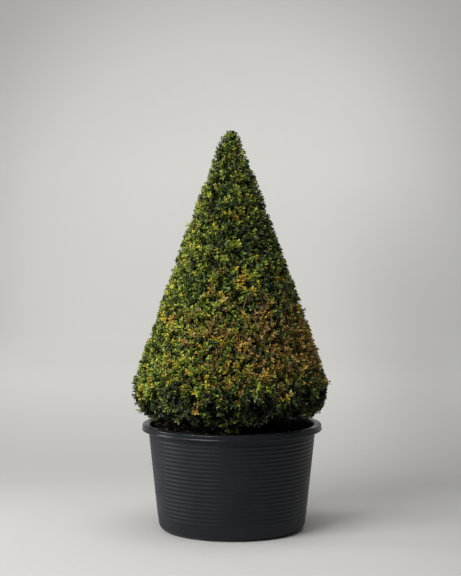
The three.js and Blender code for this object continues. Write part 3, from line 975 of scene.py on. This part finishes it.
def paint_bark(graph, wood, fine=1.0):
    """Grey-brown ridges, dark furrows and paler patches."""
    at = graph.place((1, 1, 0.35))
    ridges = graph.noise(at, 160 * fine, 6, 0.62)
    patches = graph.noise(graph.place(), 45, 3)
    worn = graph.between(ridges, 0.38, 0.62)
    base = graph.blend(worn, wood.crevice[:], wood.bark[:])
    grey = tuple(c + 0.12 for c in dimmed(wood.bark, 0.5))
    base = graph.blend(graph.between(patches, 0.52, 0.7, 0, 0.5), base, grey)
    return {"Base Color": base,
            "Roughness": graph.between(ridges, 0.3, 0.7, 0.95, 0.75),
            "Normal": graph.bump(ridges + 0.4 * graph.noise(at, 420, 3), 0.0008)}


def paint_twigs(graph, wood):
    """The same bark at half the size."""
    return paint_bark(graph, wood, 2.0)


def paint_shoots(graph, wood):
    """Young green-brown wood in soft bands."""
    bands = graph.noise(graph.place(), 70, 2)
    brown = dimmed(wood.bark, 0.62)
    base = graph.blend(graph.between(bands, 0.4, 0.6), wood.shoot[:], brown)
    return {"Base Color": base, "Roughness": graph.between(bands, 0.3, 0.7, 0.8, 0.6)}


def paint_bare(graph, wood):
    """Dry, streaked wood."""
    streaks = graph.noise(graph.place((1, 1, 0.3)), 300, 4, 0.6)
    dark = dimmed(wood.bare, 0.5)
    return {"Base Color": graph.blend(graph.between(streaks, 0.35, 0.6), dark, wood.bare[:]),
            "Roughness": graph.between(streaks, 0.3, 0.7, 0.9, 0.7)}


# ---------------------------------------------------------------- operators

class TOPIARY_OT_tub(bpy.types.Operator):
    """Builds the ribbed tub with its rolled rim and drain holes"""
    bl_idname = "topiary.tub"
    bl_label = "Tub"

    def execute(self, context):
        tub = context.scene.topiary_tub
        plastic = finish("tub_plastic", paint_plastic, tub, Specular_Ior_Level=0.25)
        turns = 208
        radii, heights = np.array(tub_section(tub)).T[:, :, None]
        points = polar(radii, turns_of(turns), heights).reshape(-1, 3)
        points = np.concatenate([points, [(0, 0, 0), (0, 0, tub.floor)]])
        shell = mesh_of("tub_shell", points, capped_faces(len(radii), turns), plastic)
        shell = self.ribbed(tub, shell, plastic)
        shell = self.drained(tub, shell)
        shell.polygons.foreach_set("use_smooth", [True] * len(shell.polygons))
        shell.set_sharp_from_angle(angle=math.radians(38))
        piece("tub_shell", shell, "tub_plastic", "tub")
        return {"FINISHED"}

    def ribbed(self, tub, shell, plastic):
        """Raises the rings of the wall: each point moves outwards by its place in the pitch."""
        graph, inputs, identifiers = tree_with("raised rings", {
            "Pitch": "NodeSocketFloat", "Top ring": "NodeSocketFloat", "Rings": "NodeSocketInt",
            "Relief": "NodeSocketFloat"})
        x, y, z = graph.parts(graph.node("GeometryNodeInputPosition"))
        phase = (z - inputs["Top ring"]) / inputs["Pitch"]
        crest = (0.5 + 0.5 * (phase * FULL_TURN).cosine()) ** 1.6
        high = phase.below(0.5)
        low = (phase + inputs["Rings"]).above(0.5)
        reach = (x * x + y * y) ** 0.5
        wall = tub.foot_radius - tub.rib_relief - 0.5 * tub.wall
        outside = (reach - tub.taper * z).above(wall)
        out = crest * high * low * outside * inputs["Relief"] / reach
        move = graph.node("ShaderNodeCombineXYZ", None, {0: x * out, 1: y * out})
        moved = graph.node("GeometryNodeSetPosition", None, {
            "Geometry": inputs["Geometry"], "Offset": move})
        close_tree(graph, moved, plastic)
        return run_tree("tub_shell", shell, graph, identifiers, {
            "Pitch": tub.rib_pitch, "Top ring": tub.rib_top, "Rings": tub.ribs,
            "Relief": tub.rib_relief})

    def drained(self, tub, shell):
        """Cuts the drain holes through the floor."""
        plugs, past = [], 0.01
        for i in range(tub.drains):
            middle = polar(tub.drain_circle, (i + 0.5) / tub.drains * FULL_TURN, 0)
            ring = middle + polar(tub.drain_radius, turns_of(24), 0)
            rings = np.stack([ring - UP * past, ring + UP * (tub.floor + past)])
            plugs.append(tube_mesh("plug", rings, shell.materials[0]))
        cutter = placed("drain_cutter", join_meshes("drain_cutter", plugs))
        carrier = placed("tub_shell_uncut", shell)
        cut = carrier.modifiers.new("drains", "BOOLEAN")
        cut.operation, cut.solver, cut.object = "DIFFERENCE", "MANIFOLD", cutter
        made = baked(carrier)
        bpy.data.objects.remove(cutter)
        return made


def wall_radius(tub, height):
    """Outer radius of the tub's wall over the ribs."""
    return tub.foot_radius + tub.taper * height


def inner_radius(tub, height):
    """Inner radius of the wall."""
    return wall_radius(tub, height) - tub.rib_relief - tub.wall


def tub_section(tub):
    """Radius and height of each ring of the tub: outside from the foot up, over the rim, inside down."""
    def arc(centre_radius, centre_height, radius, start, end, steps):
        turn = np.radians(np.linspace(start, end, steps + 1))
        return [(centre_radius + radius * math.cos(a), centre_height + radius * math.sin(a))
                for a in turn]

    relief = tub.rib_relief
    foot = wall_radius(tub, tub.foot_rounding) - relief - tub.foot_rounding
    neck = tub.height - tub.wall - 0.0015
    wall_steps = int((neck - tub.foot_rounding) / 0.0014)
    wall = [(wall_radius(tub, z) - relief, z)
            for z in np.linspace(tub.foot_rounding, neck, wall_steps)[1:]]
    lip = tub.height - tub.rim_drop
    inside = tub.rim_radius - tub.wall - 0.001
    band = tub.rim_radius - 0.0014
    mouth_rounding, neck_rounding, corner = 0.0055, 0.004, 0.018
    mouth = tub.height - mouth_rounding
    inner, inner_foot = inner_radius(tub, mouth), inner_radius(tub, tub.foot_rounding)
    section = [(0.6 * foot, 0.0015), (0.8 * foot, 0.0015), (0.93 * foot, 0.0015), (0.955 * foot, 0)]
    section += arc(foot, tub.foot_rounding, tub.foot_rounding, -90, 0, 12)
    section += wall
    section += arc(inside - neck_rounding, neck - neck_rounding, neck_rounding, 90, 0, 4)
    section += [(inside, z) for z in np.linspace(neck - 0.006, lip + tub.bead + 0.001, 4)]
    section += arc(tub.rim_radius - tub.bead, lip + tub.bead, tub.bead, -180, 40, 12)
    section += [(band, z) for z in np.linspace(lip + 2.1 * tub.bead, tub.height - 0.006, 4)]
    crown = tub.rim_rounding
    section += arc(band - crown, tub.height - crown, crown, 4, 90, 10)
    flat = np.linspace(band - crown - 0.001, inner + mouth_rounding, 5)[1:]
    section += [(r, tub.height) for r in flat]
    section += arc(inner + mouth_rounding, mouth, mouth_rounding, 95, 180, 7)
    section += [(inner_radius(tub, z), z) for z in np.linspace(mouth, tub.foot_rounding, 20)[1:]]
    section += arc(inner_foot - corner, tub.foot_rounding - 0.001, corner, 0, -90, 6)[1:]
    section += [(0.7 * inner_foot, tub.floor), (0.4 * inner_foot, tub.floor)]
    return section


def paint_plastic(graph, tub):
    """Scuffed, mottled plastic, dusted near the ground, with a faint painted highlight along the rib
    crests, and smoother on the rim.
    """
    at = graph.place()
    height = graph.parts(at)[2]
    cloud = graph.noise(at, 9, 4, 0.55)
    mottle = graph.noise(at, 70, 4, 0.6)
    grain = graph.noise(at, 900, 2, 0.5)
    scuffs = graph.noise(graph.place((1, 1, 14)), 26, 5, 0.7)
    wave = ((height - tub.rib_top) * (FULL_TURN / tub.rib_pitch)).cosine()
    crest = graph.between(wave, 0.45, 1.0)
    ribbed = graph.between(height, tub.rib_top + 0.006, tub.rib_top + 0.004)
    # dusting near the ground, and the rib crests a little lighter: painted highlight
    dust_and_crest_sheen = graph.between(height, 0.07, 0.0, 0, 0.12) + crest * ribbed * 0.02
    dust_and_crest_sheen = dust_and_crest_sheen + graph.between(cloud, 0.5, 0.75, 0, 0.10)
    dust_and_crest_sheen = dust_and_crest_sheen + graph.between(scuffs, 0.62, 0.75, 0, 0.16)
    dark = dimmed(tub.plastic, 0.82)
    base = graph.blend(graph.between(mottle, 0.35, 0.65), dark, tub.plastic[:])
    base = graph.blend(dust_and_crest_sheen, base, tub.dust_and_sheen[:])
    worn = graph.between(height, tub.height - tub.rim_drop - 0.004, tub.height - tub.rim_drop)
    rough = 0.39 + 0.08 * graph.between(cloud, 0.35, 0.65) + 0.5 * dust_and_crest_sheen - 0.15 * worn
    fine = graph.bump(grain, 0.00012, 0.6)
    return {"Base Color": base, "Roughness": rough,
            "Normal": graph.bump(mottle, 0.0004, 0.5, fine)}


class TOPIARY_OT_compost(bpy.types.Operator):
    """Builds the bed of compost, its crumbs and the leaves fallen on it"""
    bl_idname = "topiary.compost"
    bl_label = "Compost"

    def execute(self, context):
        tub = context.scene.topiary_tub
        # the compost's near-black colour is partly painted shade under the foliage
        soil = finish("moist_and_shaded_compost", paint_soil, tub, Specular_Ior_Level=0.25)
        rng = np.random.default_rng(31)
        angle = turns_of(168)
        top_gap, gap = 0.0006, 0.0008
        edge = inner_radius(tub, COMPOST_EDGE) - top_gap
        rings = []
        for radius in np.linspace(0.008, edge, 58):
            ring = polar(radius, angle, compost_level(radius, edge))
            lump = smooth_noise(ring, 0.022, 1.7) * 0.0026 + smooth_noise(ring, 0.008, 4.9) * 0.0013
            ring[:, 2] += lump - gap
            rings.append(ring)
        for height in (0.29, 0.2, 0.1, 0.026):
            rings.append(polar(inner_radius(tub, height) - gap, angle, height))
        for radius in (0.2, 0.1, 0.01):
            rings.append(polar(radius, angle, tub.floor + 0.0003))
        bed = tube_mesh("compost_bed", np.array(rings)[:, ::-1], soil)
        piece("compost_bed", bed, "compost", "compost")

        count = 2600
        radius = edge * np.sqrt(rng.uniform(0.08, 0.985, count))
        turn = rng.uniform(-math.pi, math.pi, count)
        spots = polar(radius, turn, compost_level(radius, edge))
        ways, faces = unit(rng.normal(0, 1, (count, 3))), unit(rng.normal(0, 1, (count, 3)))
        sizes = rng.uniform(0.0012, 0.0042, (count, 1)) * rng.uniform(0.6, 1.3, (count, 3))
        crumb = placed("crumb_pattern", crumb_pattern())
        crumbs = spray_mesh("compost_crumbs", spots, ways, faces, sizes, crumb, soil)
        bpy.data.objects.remove(crumb)
        piece("compost_crumbs", crumbs, "compost")

        count = 240
        radius = (edge - 0.006) * np.sqrt(rng.uniform(0.3, 0.98, count))
        turn = wrapped(rng.normal(math.radians(175), 1.1, count))
        spots = polar(radius, turn, compost_level(radius, edge) + rng.uniform(0.0015, 0.005, count))
        faces = unit(UP + rng.normal(0, 0.35, (count, 3)))
        ways = square_to(rng.normal(0, 1, (count, 3)), faces)
        size = rng.uniform(0.010, 0.015, count)
        scales = np.stack([0.5 * size, size, size * rng.uniform(0.5, 2.2, count)], -1)
        pattern = placed("leaf_pattern", leaf_pattern())
        dry = finish("fallen_leaves", Base_Color=(*tub.litter, 1), Roughness=0.75)
        fallen = spray_mesh("fallen_leaves", spots, ways, faces, scales, pattern, dry)
        bpy.data.objects.remove(pattern)
        piece("fallen_leaves", fallen, "foliage")
        return {"FINISHED"}


def compost_level(radius, edge):
    """Height of the compost: flat round the stem, then falling to its edge."""
    return np.interp(radius, [0, 0.09, edge], [COMPOST_TOP, COMPOST_TOP, COMPOST_EDGE])


def crumb_pattern():
    """A lump of eight faces."""
    points = [(1, 0, 0), (0, 0.8, 0.1), (-0.9, 0, 0), (0, -1, -0.1), (0.1, 0, 0.9), (0, 0.1, -0.8)]
    faces = [(0, 1, 4), (1, 2, 4), (2, 3, 4), (3, 0, 4), (1, 0, 5), (2, 1, 5), (3, 2, 5), (0, 3, 5)]
    return mesh_of("crumb_pattern", points, faces, None, False)


def paint_soil(graph, tub):
    """Dark crumbs and drier patches."""
    at = graph.place()
    crumbs = graph.noise(at, 220, 6, 0.68)
    patches = graph.noise(at, 30, 3, 0.5)
    pale = tuple(c + 0.002 for c in dimmed(tub.soil, 1.9))
    dark = dimmed(tub.soil, 0.55)
    base = graph.blend(graph.between(crumbs, 0.35, 0.68), dark, tub.soil[:])
    base = graph.blend(graph.between(patches, 0.5, 0.72, 0, 0.5), base, pale)
    return {"Base Color": base, "Roughness": graph.between(patches, 0.3, 0.7, 0.85, 0.98),
            "Normal": graph.bump(crumbs, 0.002)}


class TOPIARY_OT_wood(bpy.types.Operator):
    """Builds the short stem and its eight boughs, with the bark's relief"""
    bl_idname = "topiary.wood"
    bl_label = "Stem and boughs"

    def execute(self, context):
        wood = context.scene.topiary_wood
        cone = context.scene.topiary_cone
        bark = finish("box_bark", paint_bark, wood, Specular_Ior_Level=0.3)
        foot, tip = (np.array([*place, height])
                     for place, height in zip(STEM_AXIS, (STEM_FOOT, STEM_TOP)))
        angle, steps = turns_of(60), 70
        rings = []
        for share in np.linspace(-0.05, 1, steps):
            centre = foot + (tip - foot) * share
            flare = math.exp(-max(0, share) / 0.16) * (1 + 0.35 * np.cos(5 * angle))
            radius = wood.stem_radius + (wood.stem_tip_radius - wood.stem_radius) * share
            radius = radius + wood.root_flare * flare
            ring = polar(1, angle, 0)
            furrows = self.furrows(ring * 0.02, centre[2], wood)
            rings.append(centre + ring * (radius + furrows)[:, None])
        piece("stem_bark", tube_mesh("stem_bark", np.array(rings), bark), "bark", "stem")

        boughs = [self.bough(cone, wood, foot, tip, index, bark) for index in range(LOBES)]
        piece("boughs_bark", join_meshes("boughs_bark", boughs), "bark", *BOUGH_NODES)
        return {"FINISHED"}

    def furrows(self, ring, along, wood):
        points = ring + UP * along * 0.35
        ridge = 1 - 2 * np.abs(smooth_noise(points, 0.0042, 2.0))
        return wood.furrow * (ridge - 0.55) + 0.0008 * smooth_noise(points, 0.02, 8.0)

    def bough(self, cone, wood, foot, tip, index, bark):
        """A bough leaves the stem level, rises, and is level again at the mass that it carries."""
        bearing = lobe_bearing(index)
        height = BOUGH_STARTS[index % 2]
        share = (height - foot[2]) / (tip[2] - foot[2])
        lower = share - wood.bough_radius / (tip[2] - foot[2])
        out = np.array([math.cos(bearing), math.sin(bearing), 0])
        stem = wood.stem_radius + (wood.stem_tip_radius - wood.stem_radius) * lower
        stem += wood.root_flare * 1.35 * math.exp(-lower / 0.16)
        start = foot + (tip - foot) * share + out * (stem - 0.004)
        end = around(cone, BOUGH_END, bearing, STALK_HEIGHT)
        bend = 0.034
        hold = [start, start + out * bend, end - out * bend, end]
        angle, steps = turns_of(18), 26
        across = np.array([-out[1], out[0], 0])
        rings = []
        for t in np.linspace(0, 1, steps):
            at = sum(c * p for c, p in zip(
                ((1 - t) ** 3, 3 * t * (1 - t) ** 2, 3 * t * t * (1 - t), t ** 3), hold))
            way = sum(c * p for c, p in zip(
                ((1 - t) ** 2, 2 * t * (1 - t), t * t),
                (hold[1] - hold[0], hold[2] - hold[1], hold[3] - hold[2])))
            rise = np.cross(way / np.linalg.norm(way), across)
            radius = wood.bough_radius + (wood.bough_tip_radius - wood.bough_radius) * t
            radius *= 1 + 0.35 * math.exp(-t / 0.06)
            ring = np.cos(angle)[:, None] * across + np.sin(angle)[:, None] * rise
            rough = self.furrows(ring * 0.012 + index, t * 0.2, wood) * 0.5
            rings.append(at + ring * (radius + rough)[:, None])
        return tube_mesh(f"bough_{index}", np.array(rings), bark)


class TOPIARY_OT_foliage(bpy.types.Operator):
    """Grows the twigs, shoots and leaves of the clipped cone"""
    bl_idname = "topiary.foliage"
    bl_label = "Twigs and leaves"

    def execute(self, context):
        scene = context.scene
        cone, wood, tints = scene.topiary_cone, scene.topiary_wood, scene.topiary_leaves
        grown = Growth(cone, scene.topiary_growth)
        rng = np.random.default_rng(5)
        bark = finish("twig_bark", paint_twigs, wood, Specular_Ior_Level=0.3)
        young = finish("young_wood", paint_shoots, wood, Specular_Ior_Level=0.4)

        stalks = np.array(grown.stalks)
        rows = []
        for name, feet, tips, steps, sag, thick, thin, sides in (
                ("leader", grown.leader[:1], grown.leader[1:], 14, 0.012, 0.013, 0.002, 10),
                ("stalks", stalks[:, 0], stalks[:, 1], 5, 0.02, 0.005, 0.002, 8),
                ("limbs", grown.feet, grown.tips, 7, 0.05, 0.0042, 0.0016, 6),
                ("side_twigs", grown.tuft_roots, grown.hubs, 5, 0.07, 0.0018, 0.0010, 4)):
            lines = bowed(feet, tips, steps, sag, rng)
            rows.append(limb_mesh(name, lines, np.linspace(thick, thin, steps), sides, bark))
        piece("twigs", join_meshes("twigs", rows), "bark", *FOLIAGE_NODES)

        chains = np.stack([grown.shoot_hubs, grown.shoot_bends, grown.shoot_tips], 1)
        thick = np.array([0.0009, 0.0007, 0.0004])
        piece("shoots", limb_mesh("shoots", chains, thick, 3, young), "bark", *FOLIAGE_NODES)

        dry = finish("bare_wood", paint_bare, wood, Specular_Ior_Level=0.3)
        thick = np.linspace(0.0012, 0.0005, grown.bare_chains.shape[1])
        piece("bare_twigs", limb_mesh("bare_twigs", grown.bare_chains, thick, 5, dry), "bark")

        pattern = placed("leaf_pattern", leaf_pattern())
        plain = placed("plain_leaf", leaf_pattern(PLAIN_LEAF))
        for index, tint in enumerate(TINTS):
            chosen = grown.tints == index
            leaf = plain if tint == "inner" else pattern
            if len(leaf.data.polygons) * chosen.sum() >= PIECE_LIMIT:
                raise RuntimeError(f"leaves_{tint} has too many leaves: {chosen.sum()}")
            paint = finish(f"leaf_{tint}", Base_Color=(*getattr(tints, tint), 1),
                           Roughness=0.42, Specular_Ior_Level=0.3 if tint in DARK_AND_SHADE_TINTS else 0.5)
            made = spray_mesh(f"leaves_{tint}", grown.roots[chosen], grown.ways[chosen],
                              grown.faces[chosen], grown.scales[chosen], leaf, paint)
            piece(f"leaves_{tint}", made, "foliage", *FOLIAGE_NODES)
        bpy.data.objects.remove(pattern)
        bpy.data.objects.remove(plain)
        return {"FINISHED"}


class TOPIARY_OT_studio(bpy.types.Operator):
    """Builds the floor and backdrop, the lights and the camera"""
    bl_idname = "topiary.studio"
    bl_label = "Studio"

    def execute(self, context):
        scene = context.scene
        studio = scene.topiary_studio
        # the paper's emission lights its far part: painted light
        paper = finish("backdrop_paper", paint_paper, studio, Specular_Ior_Level=0.2,
                       Emission_Strength=1.0)
        # the upright paper stands further out than a camera that goes round the cone
        front, start, bend, wide, tall = -9, 6.4, 1.2, 10.0, 9
        rows = [(y, 0.0) for y in np.linspace(front, start, 16)]
        rows += [(start + bend * math.sin(a), bend * (1 - math.cos(a)))
                 for a in np.linspace(0, math.pi / 2, 24)[1:]]
        rows += [(start + bend, z) for z in np.linspace(bend, tall, 8)[1:]]
        points = [(x, y, z) for y, z in rows for x in (-wide, wide)]
        faces = [(2 * i, 2 * i + 1, 2 * i + 3, 2 * i + 2) for i in range(len(rows) - 1)]
        placed("studio_sweep", mesh_of("studio_sweep", points, faces, paper))

        # name, place, what it is turned to, size, power and spread in degrees
        self.light("key_light", (-2.2, -2.4, 2.5), (0, 0, 0.6), (2.5, 1.8), studio.key_power)
        self.light("side_light", (-2.3, 0.1, 0.95), (0, 0, 0.62), (0.8, 1.4), studio.side_power, 56)
        self.light("top_light", (0.2, -0.4, 3.6), (0, 0.2, 0.3), (2.4, 2.4), studio.fill_power)
        world = bpy.data.worlds.new("studio_surround")
        world.use_nodes = True
        ground = world.node_tree.nodes["Background"]
        ground.inputs["Color"].default_value = (1, 1, 1, 1)
        ground.inputs["Strength"].default_value = studio.surround
        scene.world = world

        lens = bpy.data.cameras.new("studio_camera")
        lens.lens, lens.sensor_width, lens.sensor_fit = studio.lens, 36, "AUTO"
        lens.clip_start, lens.clip_end = 0.1, 50
        camera = placed("studio_camera", lens)
        aside = 0.0003
        shift = scene.topiary_cone.shift - aside
        camera.location = (shift, -studio.camera_distance, studio.camera_height)
        aim = Vector((shift, 0, studio.aim_height)) - camera.location
        camera.rotation_euler = aim.to_track_quat("-Z", "Y").to_euler()
        scene.camera = camera
        scene.view_settings.view_transform = "Standard"
        return {"FINISHED"}

    def light(self, name, place, aim, size, power, spread=180):
        lamp = bpy.data.lights.new(name, "AREA")
        lamp.shape, lamp.size, lamp.size_y, lamp.energy = "RECTANGLE", *size, power
        lamp.spread = math.radians(spread)
        made = placed(name, lamp)
        made.location = place
        made.rotation_euler = (Vector(aim) - Vector(place)).to_track_quat("-Z", "Y").to_euler()


def paint_paper(graph, studio):
    """Paper painted darker far out from a painted pool of light, with a painted shadow on the side away
    from the light and painted shade close by. The far paper also glows by its own emission: painted
    light that stands in for light from behind."""
    across, away, height = graph.parts(graph.place())
    aside, above = across - 0.12, height - studio.pool_height
    reach = (aside * aside + above * above) ** 0.5
    # painted shade: darker far out from the painted pool of light
    far = graph.between(reach, 0.96, 2.05)
    # painted shadow of the cone on the floor and paper to the right, away from the key light
    painted_lee_shadow = graph.between(across, 0.2, 1.3) * graph.between(height, 1.3, 0.1)
    # painted shade: the floor darker from just behind the tub towards the front
    near = graph.between(away, 0.8, -0.4)
    dark, lee_shadow_tone = dimmed(studio.paper, 0.62), dimmed(studio.paper, 0.80)
    base = graph.blend(far, studio.paper[:], dark)
    base = graph.blend(painted_lee_shadow, base, lee_shadow_tone)
    base = graph.blend(0.45 * near, base, lee_shadow_tone)
    grain = graph.noise(graph.place(), 240, 3)
    # the painted light of the far paper's emission, standing in for light from behind, is weaker in the
    # upper corners and on the side away from the key light, where it leaves a painted shadow
    back = graph.between(away, 0.8, 4.3) ** 0.6
    high = height - 0.6
    out = (across * across + high * high) ** 0.5
    corner, centre = graph.between(out, 1.5, 2.6), graph.between(out, 1.6, 0.9)
    sideways = across / (away + studio.camera_distance)
    turned = graph.between(sideways, 0.045, 0.13) * graph.between(height, 2.6, 0.0)
    lit = studio.painted_glow_strength * back * (1 - 0.40 * corner - 0.09 * centre) * (1 - 0.36 * turned)
    painted_glow = graph.blend(lit, (0, 0, 0), studio.painted_glow[:])
    return {"Base Color": base, "Roughness": graph.between(grain, 0.3, 0.7, 0.86, 0.94),
            "Emission Color": painted_glow}


class VIEW3D_PT_topiary(bpy.types.Panel):
    """Sizes, colours and steps of the potted cone"""
    bl_label = "Boxwood cone"
    bl_idname = "VIEW3D_PT_topiary"
    bl_space_type = "VIEW_3D"
    bl_region_type = "UI"
    bl_category = "Topiary"

    def draw(self, context):
        layout = self.layout
        for title, key, _ in GROUPS:
            box = layout.box()
            box.label(text=title)
            group = getattr(context.scene, key)
            for name in group.bl_rna.properties.keys():
                if name not in ("rna_type", "name"):
                    box.prop(group, name)
        for step in STEPS:
            layout.operator(step.bl_idname)


GROUPS = [
    ("Cone", "topiary_cone", ConeSizes),
    ("Growth", "topiary_growth", GrowthSizes),
    ("Leaves", "topiary_leaves", LeafColours),
    ("Wood", "topiary_wood", WoodSizes),
    ("Tub", "topiary_tub", TubSizes),
    ("Studio", "topiary_studio", StudioSizes),
]
STEPS = [TOPIARY_OT_tub, TOPIARY_OT_compost, TOPIARY_OT_wood, TOPIARY_OT_foliage, TOPIARY_OT_studio]


def register():
    for _, key, group in GROUPS:
        bpy.utils.register_class(group)
        setattr(bpy.types.Scene, key, bpy.props.PointerProperty(type=group))
    for cls in [*STEPS, VIEW3D_PT_topiary]:
        bpy.utils.register_class(cls)


def unregister():
    for cls in reversed([*STEPS, VIEW3D_PT_topiary]):
        bpy.utils.unregister_class(cls)
    for _, key, group in reversed(GROUPS):
        delattr(bpy.types.Scene, key)
        bpy.utils.unregister_class(group)


def main():
    register()
    bpy.ops.topiary.tub()
    bpy.ops.topiary.compost()
    bpy.ops.topiary.wood()
    bpy.ops.topiary.foliage()
    bpy.ops.topiary.studio()


if __name__ == "__main__":
    main()
